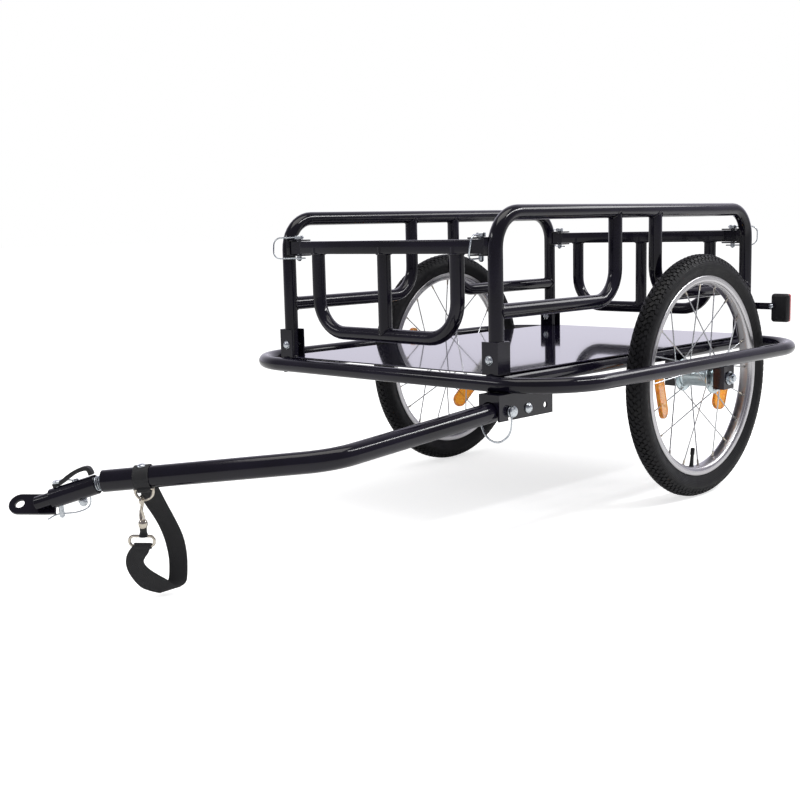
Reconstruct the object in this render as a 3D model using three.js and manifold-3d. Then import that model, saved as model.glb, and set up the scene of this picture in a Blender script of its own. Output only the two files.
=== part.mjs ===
// Two-wheeled cargo bike trailer: a tubular base loop with a sheet deck, two hooped side panels, a
// pinned gate at each end, two spoked wheels, and a folding tow arm that ends in a spring hitch.
// Millimetres. X points forward along the drawbar side, Y to the trailer's left, Z up. The model is
// built about the wheels' axle line and moved at the end, so that the origin is the ground point in
// the middle of the whole trailer.
import * as THREE from 'three';
import { mergeVertices } from 'three/addons/utils/BufferGeometryUtils.js';
import Module from 'manifold-3d';

const wasm = await Module();
wasm.setup();

// Clearances and overruns shared by every piece
const seat_gap = 0.3;
const running_gap = 0.5;
const cut_overrun = 2;

// Frame tubing and the base loop
const tube_d = 22;
const loop_z = 233;
const loop_front_x = 470.5;
const loop_rear_x = -271;
const loop_half_width = 342;
const frame_bend_r = 115;

// Inner rails under the deck, and the cross tube over the axle line
const rail_half_width = 220;
const cross_tube_x = 0;

// Deck sheet
const deck_t = 2;
const deck_front_inset = 9;
const deck_rear_inset = 8;
const deck_side_lap = 8;
const deck_notch_gap = 1.2;

// Side panels: hooped rails with two J-shaped braces each
const panel_half_width = 220.75;
const front_post_x = 450.4;
const rear_post_x = -251.1;
const post_foot_rise = 3;
const panel_top_z = 471.9;
const panel_bend_r = 50;
const brace_z = 332.8;
const brace_bend_r = 50;
const front_brace_x = 158.2;
const rear_brace_x = 44.4;

// Foot brackets that hold the posts, and their bolts
const foot_sheet_t = 2.5;
const foot_height = 46.7;
const foot_inner_reach = 15.75;
const foot_bolt_d = 8;
const foot_bolt_head_d = 14;
const foot_bolt_head_h = 4;
const foot_bolt_rise = 20.7;
const foot_bolt_inset = 2.25;

// Clevises on the posts
const clevis_sheet_t = 2.5;
const clevis_half_length = 10;
const clevis_reach = 42.75;
const clevis_web_inner = 13.25;

// Gates
const gate_rail_h = 20.5;
const gate_rail_w = 20;
const gate_rail_chamfer = 1.5;
const gate_rail_z = 424.4;
const gate_rail_half_length = 183;
const gate_lug_w = 16;
const gate_hoop_half_width = 148.8;
const gate_hoop_z = 289.5;
const gate_hoop_bend_r = 56;

// Gate pins and their wire clips
const pin_inset = 25.75;
const pin_d = 8;
const pin_head_d = 14;
const pin_head_h = 6;
const pin_tip_drop = 8.5;
const pin_tip_taper = 2;
const clip_wire_d = 2.5;
const clip_reach = 43;
const clip_bend_r = 12;
const clip_tail = 12;
const clip_turn_deg = 31;
const clip_front_left_turn_deg = 67;
const clip_lower_drop = 2.5;

// Wheels
const wheel_r = 200;
const wheel_half_track = 277.5;
const tyre_w = 35;
const tyre_base_w = 23;
const rim_outer_r = 164.5;
const rim_w = 25;
const rim_lip_t = 2;
const rim_well_depth = 6;
const rim_depth = 14;
const rim_side_depth = 9;
const hub_flange_half = 28.5;
const hub_flange_r = 27;
const hub_flange_t = 3;
const hub_shell_r = 19;
const hub_half_length = 35;
const hub_end_r = 12;
const spoke_count = 20;
const spoke_d = 2.4;
const spoke_hole_r = 22;
const spoke_side_step = 1.8;
const spoke_sides = 4;
const spoke_lean_deg = 62;
const valve_d = 7;
const valve_length = 31;
const valve_turn_deg = 82;

// Wheel reflectors
const wheel_reflector_length = 74;
const wheel_reflector_w = 28;
const wheel_reflector_t = 7;
const wheel_reflector_out = 98;
const near_reflector_turns_deg = [15, 161];
const far_reflector_turns_deg = [128, -16];

// Axles and the plates that carry them
const axle_d = 10;
const axle_spacer_d = 15;
const axle_nut_d = 20;
const axle_nut_t = 8;
const axle_end_length = 3;
const plate_half_track = 53.5;
const plate_t = 3;
const plate_w = 32;
const plate_drop = 18;
const plate_rise = 34;
const plate_flange = 17;

// Tow bracket under the front corner
const bracket_y = 242.5;
const bracket_inner_w = 31;
const bracket_sheet_t = 3;
const bracket_front_x = 494;
const bracket_rear_x = 374;
const bracket_drop = 37;
const spare_hole_x = 390.6;
const spare_hole_d = 9;

// Tow arm
const arm_d = 28;
const pivot_x = 430.6;
const pivot_z = 197.5;
const pivot_d = 10;
const pivot_head_d = 15;
const pivot_head_h = 5;
const arm_stub = 9;
const arm_axis_rise = 3.5;
const lock_reach = 40;
const lock_slot_sweep_deg = 32;
const arm_slope_deg = 4.13;
const arm_bend_reach = 358.3;
const arm_bend_r = 70;
const arm_turn_deg = 52.5;
const arm_end_slope_deg = 5.2;
const arm_end_length = 293;

// Lock pin and its wire bail
const lock_pin_d = 9;
const lock_pin_head_d = 16;
const lock_pin_head_h = 5;
const lock_pin_stand = 3.4;
const lock_pin_tip = 7;
const bail_wire_d = 3;
const bail_eye_r = 6.2;
const bail_depth = 46;
const bail_far_rise = 28;
const bail_far_y = 35;
const bail_bend_r = 14;

// Hitch: spring, coupling tube, bolt, pin, bail, leash and tongue
const hitch_gap = 8;
const coupling_slope_deg = 17.5;
const coupling_sag = 3;
const coupling_d = 25;
const coupling_length = 63;
const spring_outer_r = 9.5;
const spring_wire_d = 2.2;
const spring_pitch = 3;
const spring_depth = 16;
const spring_bore_gap = 1.5;
const spring_least_gap = 0.4;
const coupling_bolt_place = 25.5;
const coupling_bolt_d = 6;
const coupling_bolt_head_d = 11;
const coupling_nut_h = 9;
const hitch_pin_place = 53;
const hitch_pin_lean_deg = 12;
const hitch_pin_d = 6.5;
const hitch_pin_head_d = 12;
const hitch_pin_head_h = 4;
const hitch_pin_tip = 15;
const hitch_pin_rise = 4;
const hitch_bail_wire_d = 2;
const hitch_bail_side = 15;
const hitch_bail_back = 34;
const hitch_bail_tail = 22;
const hitch_bail_bend_r = 8;
const leash_w = 9;
const leash_t = 2.2;
const leash_rise = 10;
const leash_peak_place = 12;
const leash_rear_place = 1.5;
const tongue_stub_d = 18;
const tongue_stub_depth = 30;
const tongue_stub_reach = 22;
const tongue_crank_reach = 12;
const tongue_plate_t = 4;
const tongue_plate_w = 29;
const tongue_plate_rear = 56;
const tongue_eye_place = 108.5;
const tongue_eye_d = 12;
const tongue_tilt_deg = 46;

// Strap, ring and snap hook that hang from the tow arm
const strap_place = 52.7;
const strap_w = 22;
const strap_t = 2.4;
const collar_w = 20;
const ring_wire_d = 3.5;
const ring_half_width = 11.5;
const ring_drop = 13;
const ring_bend_r = 8;
const ring_turn_deg = 35;
const ring_shift = -1.5;
const ring_sleeve_w = 17;
const hook_wire_d = 4.5;
const hook_bow_r = 5.2;
const hook_gate_t = 2.6;
const hook_body_d = 9;
const swivel_neck_d = 4;
const swivel_drop = 61.5;
const loop_top_drop = 72;
const loop_bar_drop = 85;
const loop_half_w = 16.5;
const loop_wire_d = 3;
const loop_bend_r = 5;
const loop_shift = 3.5;
const strap_sleeve_w = 22;

// Rear reflector on the left rear post
const lamp_clamp_z = 297.8;
const lamp_strip_h = 12;
const lamp_strip_t = 2.5;
const lamp_strip_reach = 52;
const lamp_bolt_reach = 45.5;
const lamp_bolt_d = 5;
const lamp_bolt_head_d = 9;
const lamp_bolt_head_h = 3;
const lamp_bolt_depth = 7;
const lamp_housing_w = 34;
const lamp_housing_h = 51;
const lamp_housing_t = 12;
const lamp_housing_bend_r = 6;
const lamp_housing_out = 60;
const lamp_housing_drop = 3;
const lamp_lens_inset = 3;
const lamp_lens_t = 5;
const lamp_lens_dome = 2.5;

// Facets
const loop_sides = 12;
const tube_sides = 10;
const wire_sides = 6;
const bend_steps = 5;
const wheel_segments = 40;
const hub_segments = 16;
const pin_segments = 10;
const spring_sides = 5;
const spring_curl_steps = 8;

const tube_r = tube_d / 2;
const rad = THREE.MathUtils.degToRad;
const vec = (x, y, z) => new THREE.Vector3(x, y, z);

// Drops collapsed triangles, keeps positions only and turns an inside-out mesh the right way round.
function tidy(geometry) {
  const bare = geometry.clone();
  bare.deleteAttribute('normal');
  bare.deleteAttribute('uv');
  const merged = mergeVertices(bare, 1e-4);
  const kept = [];
  const index = merged.index.array;
  for (let i = 0; i < index.length; i += 3) {
    const [a, b, c] = [index[i], index[i + 1], index[i + 2]];
    if (a !== b && b !== c && c !== a) kept.push(a, b, c);
  }
  const a = vec();
  const b = vec();
  const c = vec();
  let volume = 0;
  for (let i = 0; i < kept.length; i += 3) {
    a.fromBufferAttribute(merged.attributes.position, kept[i]);
    b.fromBufferAttribute(merged.attributes.position, kept[i + 1]);
    c.fromBufferAttribute(merged.attributes.position, kept[i + 2]);
    volume += a.dot(b.cross(c));
  }
  if (volume < 0) kept.reverse();
  merged.setIndex(kept);
  return merged;
}

function toSolid(geometry) {
  const ready = tidy(geometry);
  const mesh = new wasm.Mesh({
    numProp: 3,
    vertProperties: Float32Array.from(ready.attributes.position.array),
    triVerts: Uint32Array.from(ready.index.array),
  });
  return new wasm.Manifold(mesh);
}

function toGeometry(solid) {
  const mesh = solid.getMesh();
  const geometry = new THREE.BufferGeometry();
  geometry.setAttribute('position', new THREE.BufferAttribute(mesh.vertProperties, 3));
  geometry.setIndex(new THREE.BufferAttribute(mesh.triVerts, 1));
  return geometry;
}

function join(...pieces) {
  return toGeometry(pieces.map(toSolid).reduce((whole, piece) => whole.add(piece)));
}

function cut(body, ...tools) {
  return toGeometry(tools.map(toSolid).reduce((left, tool) => left.subtract(tool), toSolid(body)));
}

// A path with chosen stations: straight runs take one step, each bend takes an even number of small ones.
class Run extends THREE.Curve {
  constructor(stations) {
    super();
    this.stations = stations;
  }

  at(share) {
    return this.stations[Math.round(share * (this.stations.length - 1))];
  }

  getPointAt(share, target = vec()) {
    return target.copy(this.at(share).point);
  }

  getTangentAt(share, target = vec()) {
    return target.copy(this.at(share).tangent);
  }
}

// A path whose section keeps its width along a chosen direction.
class RibbonRun extends Run {
  computeFrenetFrames(steps) {
    const frames = { tangents: [], normals: [], binormals: [] };
    for (let i = 0; i <= steps; i += 1) {
      const { tangent, width } = this.at(i / steps);
      const across = width.clone().addScaledVector(tangent, -width.dot(tangent)).normalize();
      frames.tangents.push(tangent.clone());
      frames.normals.push(across);
      frames.binormals.push(tangent.clone().cross(across));
    }
    return frames;
  }
}

function bendStations(corner, before, after, radius, steps) {
  const into = corner.clone().sub(before).normalize();
  const out = after.clone().sub(corner).normalize();
  const turn = into.angleTo(out);
  const side = out.clone().addScaledVector(into, -Math.cos(turn)).normalize();
  const start = corner.clone().addScaledVector(into, -radius * Math.tan(turn / 2));
  const stations = [];
  for (let i = 0; i <= steps; i += 1) {
    const angle = (turn * i) / steps;
    const point = start.clone().addScaledVector(into, radius * Math.sin(angle));
    point.addScaledVector(side, radius * (1 - Math.cos(angle)));
    const tangent = into.clone().multiplyScalar(Math.cos(angle)).addScaledVector(side, Math.sin(angle));
    stations.push({ point, tangent });
  }
  return stations;
}

function openRun(corners, radius, steps = bend_steps) {
  const last = corners.length - 1;
  const start = { point: corners[0], tangent: corners[1].clone().sub(corners[0]).normalize() };
  const end = { point: corners[last], tangent: corners[last].clone().sub(corners[last - 1]).normalize() };
  const bends = corners.slice(1, last).flatMap((corner, i) => (
    bendStations(corner, corners[i], corners[i + 2], radius, steps)));
  return new Run([start, ...bends, end]);
}

function closedRun(corners, radii, steps = bend_steps) {
  const count = corners.length;
  const stations = corners.flatMap((corner, i) => (
    bendStations(corner, corners[(i + count - 1) % count], corners[(i + 1) % count], radii[i], steps)));
  return new Run([...stations, stations[0]]);
}

function roundSection(radius, sides) {
  const points = [];
  for (let i = 0; i < sides; i += 1) {
    const angle = (2 * Math.PI * i) / sides;
    points.push(new THREE.Vector2(radius * Math.cos(angle), radius * Math.sin(angle)));
  }
  return new THREE.Shape(points);
}

function sweep(run, section) {
  return new THREE.ExtrudeGeometry(section, { steps: run.stations.length - 1, extrudePath: run });
}

function tube(corners, bend_r, radius = tube_r, sides = tube_sides, steps = bend_steps) {
  return sweep(openRun(corners, bend_r, steps), roundSection(radius, sides));
}

function closedTube(corners, radii, radius, sides, steps = bend_steps) {
  const run = closedRun(corners, radii, steps);
  return new THREE.TubeGeometry(run, run.stations.length - 1, radius, sides, true);
}

// A round rod between two points, for pins, bores and spokes.
function rod(from, to, radius, sides = pin_segments) {
  return sweep(openRun([from, to], 0), roundSection(radius, sides));
}

// A turned piece about the Z axis, from a profile of [radius, height] pairs that starts and ends on it.
function turned(profile, segments = pin_segments) {
  const points = profile.map(([radius, height]) => new THREE.Vector2(radius, height));
  return new THREE.LatheGeometry(points, segments).rotateX(Math.PI / 2);
}

// A turned ring about the Y axis, from a closed profile of [radius, offset] pairs.
function turnedRing(profile, segments) {
  const points = [...profile, profile[0]].map(([radius, offset]) => new THREE.Vector2(radius, offset));
  return new THREE.LatheGeometry(points, segments);
}

function box(x0, x1, y0, y1, z0, z1) {
  const geometry = new THREE.BoxGeometry(x1 - x0, y1 - y0, z1 - z0);
  return geometry.translate((x0 + x1) / 2, (y0 + y1) / 2, (z0 + z1) / 2);
}

function outline(points) {
  return new THREE.Shape(points.map(([x, y]) => new THREE.Vector2(x, y)));
}

function slab(shape, thickness, curve_steps = bend_steps) {
  return new THREE.ExtrudeGeometry(shape, {
    depth: thickness,
    bevelEnabled: false,
    curveSegments: curve_steps,
  });
}

function roundedOutline(width, height, radius) {
  const [w, h] = [width / 2, height / 2];
  const shape = new THREE.Shape();
  shape.moveTo(w, radius - h);
  shape.absarc(w - radius, h - radius, radius, 0, Math.PI / 2);
  shape.absarc(radius - w, h - radius, radius, Math.PI / 2, Math.PI);
  shape.absarc(radius - w, radius - h, radius, Math.PI, 1.5 * Math.PI);
  shape.absarc(w - radius, radius - h, radius, 1.5 * Math.PI, 2 * Math.PI);
  return shape;
}

const mirrored = (geometry) => geometry.clone().scale(1, -1, 1);

// Finishes
const finish = (color, roughness, metalness) => () => (
  new THREE.MeshStandardMaterial({ color, roughness, metalness }));
const gloss_black = finish(0x17161c, 0.22, 0.3);
const deck_black = finish(0x8f8b9c, 0.12, 0.35);
const zinc = finish(0xc9ccd0, 0.35, 0.9);
const galvanised = finish(0xa9b8c0, 0.4, 0.85);
const alloy = finish(0xb9b7ba, 0.35, 0.9);
const tread_rubber = finish(0x1b1b1d, 0.9, 0);
const amber = finish(0xf29a12, 0.3, 0);
const lens_red = finish(0x9c1218, 0.2, 0);
const black_plastic = finish(0x151518, 0.5, 0);
const webbing = finish(0x2a2a2e, 0.95, 0);
const nickel = finish(0xb9b2a4, 0.3, 0.95);

function place(parent, name, geometry, material) {
  const mesh = new THREE.Mesh(tidy(geometry), material());
  mesh.name = name;
  parent.add(mesh);
  return mesh;
}

function groupAt(parent, x, y, z) {
  const group = new THREE.Group();
  group.position.set(x, y, z);
  parent.add(group);
  return group;
}

const trailer = new THREE.Group();

// Base loop: one bent tube round the whole trailer, outside the wheels.
const loop_corners = [
  vec(loop_front_x, loop_half_width, loop_z),
  vec(loop_rear_x, loop_half_width, loop_z),
  vec(loop_rear_x, -loop_half_width, loop_z),
  vec(loop_front_x, -loop_half_width, loop_z),
];
const loop_radii = loop_corners.map(() => frame_bend_r);
place(trailer, 'frame_loop', closedTube(loop_corners, loop_radii, tube_r, loop_sides), gloss_black);
const loop_clearance = closedTube(loop_corners, loop_radii, tube_r + seat_gap, loop_sides);

// Inner frame: two rails coped to the loop, joined by the cross tube.
function innerFrame() {
  const rails = [1, -1].map((side) => rod(
    vec(loop_front_x, side * rail_half_width, loop_z),
    vec(loop_rear_x, side * rail_half_width, loop_z),
    tube_r,
    loop_sides,
  ));
  const cross = rod(
    vec(cross_tube_x, rail_half_width, loop_z),
    vec(cross_tube_x, -rail_half_width, loop_z),
    tube_r,
    loop_sides,
  );
  return cut(join(...rails, cross), loop_clearance);
}
place(trailer, 'inner_frame', innerFrame(), gloss_black);
const rail_clearances = [1, -1].map((side) => rod(
  vec(loop_front_x, side * rail_half_width, loop_z),
  vec(loop_rear_x, side * rail_half_width, loop_z),
  tube_r + seat_gap,
  loop_sides,
));

// Deck: one sheet on the rails, notched round the four foot brackets.
const sheet_z = loop_z + tube_r + seat_gap;
const foot_flange_gap = tube_r + seat_gap;
const foot_flange_out = foot_flange_gap + foot_sheet_t;
const foot_outer = panel_half_width + foot_flange_gap + foot_sheet_t;
const foot_inner = panel_half_width - foot_inner_reach;
function deckPlate() {
  const front = loop_front_x - deck_front_inset;
  const rear = loop_rear_x + deck_rear_inset;
  const half_width = rail_half_width + deck_side_lap;
  const notch_y = foot_inner - deck_notch_gap;
  const notch_half = foot_flange_out + deck_notch_gap;
  const side = [
    [front, notch_y],
    [front_post_x - notch_half, notch_y],
    [front_post_x - notch_half, half_width],
    [rear_post_x + notch_half, half_width],
    [rear_post_x + notch_half, notch_y],
    [rear, notch_y],
  ];
  const other = side.map(([x, y]) => [x, -y]).reverse();
  return slab(outline([...side, ...other]), deck_t).translate(0, 0, sheet_z);
}
place(trailer, 'deck_plate', deckPlate(), deck_black);

// Foot brackets: channels open to the inside, standing on the rails, each with a bolt through the post.
const foot_bolt_z = sheet_z + foot_bolt_rise;
const foot_bolt_y = panel_half_width - foot_bolt_inset;
function footBracket(post_x) {
  const top = sheet_z + foot_height;
  const body = box(post_x - foot_flange_out, post_x + foot_flange_out, foot_inner, foot_outer, sheet_z, top);
  const inside = box(
    post_x - foot_flange_gap,
    post_x + foot_flange_gap,
    foot_inner - cut_overrun,
    foot_outer - foot_sheet_t,
    sheet_z - cut_overrun,
    top + cut_overrun,
  );
  const hole = rod(
    vec(post_x - foot_flange_out - cut_overrun, foot_bolt_y, foot_bolt_z),
    vec(post_x + foot_flange_out + cut_overrun, foot_bolt_y, foot_bolt_z),
    foot_bolt_d / 2 + seat_gap,
  );
  return cut(body, inside, hole);
}

function footBolt() {
  const grip = foot_flange_out + seat_gap;
  const shank = foot_bolt_d / 2;
  const head = foot_bolt_head_d / 2;
  return turned([
    [0, -grip - foot_bolt_head_h],
    [head, -grip - foot_bolt_head_h],
    [head, -grip],
    [shank, -grip],
    [shank, grip],
    [head, grip],
    [head, grip + foot_bolt_head_h],
    [0, grip + foot_bolt_head_h],
  ]).rotateY(Math.PI / 2);
}

const corner_names = [
  { name: 'front_left', post_x: front_post_x, side: 1, end: 1 },
  { name: 'front_right', post_x: front_post_x, side: -1, end: 1 },
  { name: 'rear_left', post_x: rear_post_x, side: 1, end: -1 },
  { name: 'rear_right', post_x: rear_post_x, side: -1, end: -1 },
];
for (const { name, post_x, side } of corner_names) {
  const bracket = side > 0 ? footBracket(post_x) : mirrored(footBracket(post_x));
  place(trailer, `foot_bracket_${name}`, bracket, gloss_black);
  const bolt = place(trailer, `foot_bolt_${name}`, footBolt(), zinc);
  bolt.position.set(post_x, side * foot_bolt_y, foot_bolt_z);
}

// Side panels: hoop, braces and two clevises each, welded into one piece.
const pin_y = panel_half_width - pin_inset;
const gate_rail_top = gate_rail_z + gate_rail_h / 2;
const gate_rail_bottom = gate_rail_z - gate_rail_h / 2;
const clevis_top = gate_rail_top + running_gap + clevis_sheet_t;
const clevis_bottom = gate_rail_bottom - running_gap - clevis_sheet_t;
function clevis(post_x, end) {
  const x0 = post_x - clevis_half_length;
  const x1 = post_x + clevis_half_length;
  const tip_y = panel_half_width - clevis_reach;
  const web_y = panel_half_width - clevis_web_inner;
  const body = box(x0, x1, tip_y, panel_half_width - tube_r / 2, clevis_bottom, clevis_top);
  const mouth = box(
    x0 - cut_overrun,
    x1 + cut_overrun,
    tip_y - cut_overrun,
    web_y,
    clevis_bottom + clevis_sheet_t,
    clevis_top - clevis_sheet_t,
  );
  const hole_r = pin_d / 2 + running_gap;
  const hole = rod(
    vec(post_x, pin_y, clevis_bottom - cut_overrun),
    vec(post_x, pin_y, clevis_top + cut_overrun),
    hole_r,
  );
  const way_out = end * (clevis_half_length + cut_overrun);
  const notch = box(
    Math.min(post_x, post_x + way_out),
    Math.max(post_x, post_x + way_out),
    pin_y - hole_r,
    pin_y + hole_r,
    clevis_bottom - cut_overrun,
    clevis_top + cut_overrun,
  );
  return cut(body, mouth, hole, notch);
}

function sidePanel() {
  const y = panel_half_width;
  const foot_z = loop_z + tube_r + post_foot_rise;
  const hoop = tube([
    vec(front_post_x, y, foot_z),
    vec(front_post_x, y, panel_top_z),
    vec(rear_post_x, y, panel_top_z),
    vec(rear_post_x, y, foot_z),
  ], panel_bend_r);
  const brace = (post_x, brace_x) => tube([
    vec(post_x, y, brace_z),
    vec(brace_x, y, brace_z),
    vec(brace_x, y, panel_top_z),
  ], brace_bend_r);
  const braces = [brace(front_post_x, front_brace_x), brace(rear_post_x, rear_brace_x)];
  const clevises = [clevis(front_post_x, 1), clevis(rear_post_x, -1)];
  const bores = [front_post_x, rear_post_x].map((post_x) => rod(
    vec(post_x - tube_d, foot_bolt_y, foot_bolt_z),
    vec(post_x + tube_d, foot_bolt_y, foot_bolt_z),
    foot_bolt_d / 2 + seat_gap,
  ));
  return cut(join(hoop, ...braces, ...clevises), ...bores);
}
place(trailer, 'side_panel_left', sidePanel(), gloss_black);
place(trailer, 'side_panel_right', mirrored(sidePanel()), gloss_black);

// Gates: a square rail over a hoop with a centre stub, built about the middle of the rail.
function gate() {
  const [h, w, c] = [gate_rail_h / 2, gate_rail_w / 2, gate_rail_chamfer];
  const rail_section = outline([
    [w - c, -h], [w, c - h], [w, h - c], [w - c, h], [c - w, h], [-w, h - c], [-w, c - h], [c - w, -h],
  ]);
  const rail = slab(rail_section, 2 * gate_rail_half_length).rotateX(Math.PI / 2);
  rail.translate(0, gate_rail_half_length, 0);
  const lug_end = panel_half_width - clevis_web_inner - running_gap;
  const lugs = box(-gate_lug_w / 2, gate_lug_w / 2, -lug_end, lug_end, -h, h);
  const hoop_drop = gate_hoop_z - gate_rail_z;
  const hoop = tube([
    vec(0, gate_hoop_half_width, 0),
    vec(0, gate_hoop_half_width, hoop_drop),
    vec(0, -gate_hoop_half_width, hoop_drop),
    vec(0, -gate_hoop_half_width, 0),
  ], gate_hoop_bend_r, tube_r - seat_gap);
  const stub = rod(vec(0, 0, 0), vec(0, 0, hoop_drop), tube_r - seat_gap, tube_sides);
  const bores = [1, -1].map((side) => rod(
    vec(0, side * pin_y, -gate_rail_h),
    vec(0, side * pin_y, gate_rail_h),
    pin_d / 2 + seat_gap,
  ));
  return cut(join(rail, lugs, hoop, stub), ...bores);
}

// Gate pins: a shouldered pin with a cross bore in its head for the wire clip, about the pin's own axis.
const clip_r = clip_wire_d / 2;
const pin_seat = clevis_top + seat_gap - gate_rail_z;
const pin_end = clevis_bottom - pin_tip_drop - gate_rail_z;
const clip_top = pin_seat + pin_head_h / 2;
const clip_bottom = clevis_bottom - clip_r - clip_lower_drop - gate_rail_z;
function gatePin() {
  const head = pin_head_d / 2;
  const shank = pin_d / 2;
  const body = turned([
    [0, pin_end],
    [shank - pin_tip_taper, pin_end],
    [shank, pin_end + pin_tip_taper],
    [shank, pin_seat],
    [head, pin_seat],
    [head, pin_seat + pin_head_h],
    [0, pin_seat + pin_head_h],
  ]);
  const bore = rod(
    vec(-pin_head_d, 0, clip_top),
    vec(pin_head_d, 0, clip_top),
    clip_r + seat_gap,
    wire_sides,
  );
  return cut(body, bore);
}

// Wire clip: through the head, out round the bend and back past the pin's tip on the open side.
function pinClip(open_side) {
  const beside = open_side * (pin_d / 2 + clip_r + seat_gap);
  return tube([
    vec(-pin_head_d / 2 - clip_r, 0, clip_top),
    vec(clip_reach, 0, clip_top),
    vec(clip_reach, beside, clip_bottom),
    vec(-clip_tail, beside, clip_bottom),
  ], clip_bend_r, clip_r, wire_sides, 5);
}

for (const end of [1, -1]) {
  const end_name = end > 0 ? 'front' : 'rear';
  const gate_group = groupAt(trailer, end > 0 ? front_post_x : rear_post_x, 0, gate_rail_z);
  place(gate_group, `gate_${end_name}`, gate(), gloss_black);
  for (const side of [1, -1]) {
    const name = `${end_name}_${side > 0 ? 'left' : 'right'}`;
    const turn_deg = end > 0 && side > 0 ? clip_front_left_turn_deg : clip_turn_deg;
    const pin_group = groupAt(gate_group, 0, side * pin_y, 0);
    pin_group.rotation.z = side * (Math.PI / 2 - end * rad(turn_deg));
    place(pin_group, `gate_pin_${name}`, gatePin(), zinc);
    place(pin_group, `pin_clip_${name}`, pinClip(-end * side), zinc);
  }
}

// Wheels, each built about its own axle.
function tyre() {
  const base = tyre_base_w / 2;
  const inner = rim_outer_r + seat_gap;
  const half_h = (wheel_r - inner) / 2;
  const middle = inner + half_h;
  const profile = [[inner, -base], [inner, base]];
  const crown_steps = 8;
  const start = Math.asin(-1) + Math.acos(base / (tyre_w / 2));
  for (let i = 1; i < crown_steps; i += 1) {
    const angle = start + ((Math.PI - 2 * start) * i) / crown_steps;
    profile.push([middle + half_h * Math.sin(angle), (tyre_w / 2) * Math.cos(angle)]);
  }
  return turnedRing(profile, wheel_segments);
}

const rim_inner_r = rim_outer_r - rim_depth;
const rim_flat_r = rim_inner_r * Math.cos(Math.PI / wheel_segments);
function rim(valve_side) {
  const half = rim_w / 2;
  const lip = half - rim_lip_t;
  const side_r = rim_outer_r - rim_side_depth;
  const profile = [
    [rim_outer_r, -half], [rim_outer_r, -lip], [rim_outer_r - rim_well_depth, -lip],
    [rim_outer_r - rim_well_depth, lip], [rim_outer_r, lip], [rim_outer_r, half],
    [side_r, half], [rim_inner_r, half / 2], [rim_inner_r, -half / 2], [side_r, -half],
  ];
  const stem = rod(
    vec(0, 0, rim_inner_r + rim_lip_t),
    vec(0, 0, rim_inner_r - valve_length),
    valve_d / 2,
    wire_sides,
  );
  return join(turnedRing(profile, wheel_segments), stem.rotateY(valve_side * rad(90 + valve_turn_deg)));
}

const spoke_places = [];
for (let i = 0; i < spoke_count; i += 1) {
  const flange = i % 2 === 0 ? 1 : -1;
  const lean = (i % 4 < 2 ? 1 : -1) * rad(spoke_lean_deg);
  const turn = (2 * Math.PI * i) / spoke_count;
  const offset = flange * (hub_flange_half + Math.sign(lean) * spoke_side_step / 2);
  spoke_places.push({ offset, rim_turn: turn, hub_turn: turn + lean });
}
const polar = (radius, turn, y) => vec(radius * Math.cos(turn), y, radius * Math.sin(turn));
function spokes(radius) {
  return spoke_places.map(({ offset, rim_turn, hub_turn }) => rod(
    polar(spoke_hole_r, hub_turn, offset),
    polar(rim_flat_r - running_gap, rim_turn, 0),
    radius,
    spoke_sides,
  ));
}

function hubAndSpokes() {
  const flange_in = hub_flange_half - hub_flange_t / 2;
  const flange_out = hub_flange_half + hub_flange_t / 2;
  const profile = [
    [hub_end_r, -hub_half_length], [hub_end_r, -flange_out],
    [hub_flange_r, -flange_out], [hub_flange_r, -flange_in], [hub_shell_r, -flange_in],
    [hub_shell_r, flange_in], [hub_flange_r, flange_in], [hub_flange_r, flange_out],
    [hub_end_r, flange_out], [hub_end_r, hub_half_length],
    [axle_d / 2 + running_gap, hub_half_length], [axle_d / 2 + running_gap, -hub_half_length],
  ];
  return join(turnedRing(profile, hub_segments), ...spokes(spoke_d / 2));
}

// A long oval reflector that grips the right-hand spokes: it lies in their slope and they pass through it.
function wheelReflector(turn_deg) {
  const slope = hub_flange_half / (rim_inner_r - spoke_hole_r);
  const r = wheel_reflector_w / 2;
  const half = wheel_reflector_length / 2 - r;
  const oval = new THREE.Shape();
  oval.moveTo(half, -r);
  oval.absarc(half, 0, r, -Math.PI / 2, Math.PI / 2);
  oval.absarc(-half, 0, r, Math.PI / 2, 1.5 * Math.PI);
  const body = slab(oval, wheel_reflector_t, 4).translate(0, 0, -wheel_reflector_t / 2);
  body.rotateZ(Math.PI / 2).rotateX(Math.PI / 2);
  body.rotateZ(Math.atan(slope));
  body.translate(wheel_reflector_out, -slope * (rim_inner_r - wheel_reflector_out), 0);
  body.rotateY(rad(turn_deg));
  return cut(body, ...spokes(spoke_d / 2 + seat_gap));
}

function axle() {
  const plate_in = plate_half_track - plate_t / 2 - seat_gap;
  const plate_out = plate_half_track + plate_t / 2 + seat_gap;
  const nut_out = plate_out + axle_nut_t;
  const hub_end = hub_half_length + seat_gap;
  const [core, spacer, nut] = [axle_d / 2, axle_spacer_d / 2, axle_nut_d / 2];
  const half = [
    [core, hub_end], [spacer, hub_end], [spacer, plate_in], [core, plate_in], [core, plate_out],
    [nut, plate_out], [nut, nut_out], [core, nut_out], [core, nut_out + axle_end_length],
    [0, nut_out + axle_end_length],
  ];
  const mirror_half = half.map(([r, h]) => [r, -h]).reverse();
  return turned([...mirror_half, ...half]).rotateX(Math.PI / 2);
}

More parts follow.
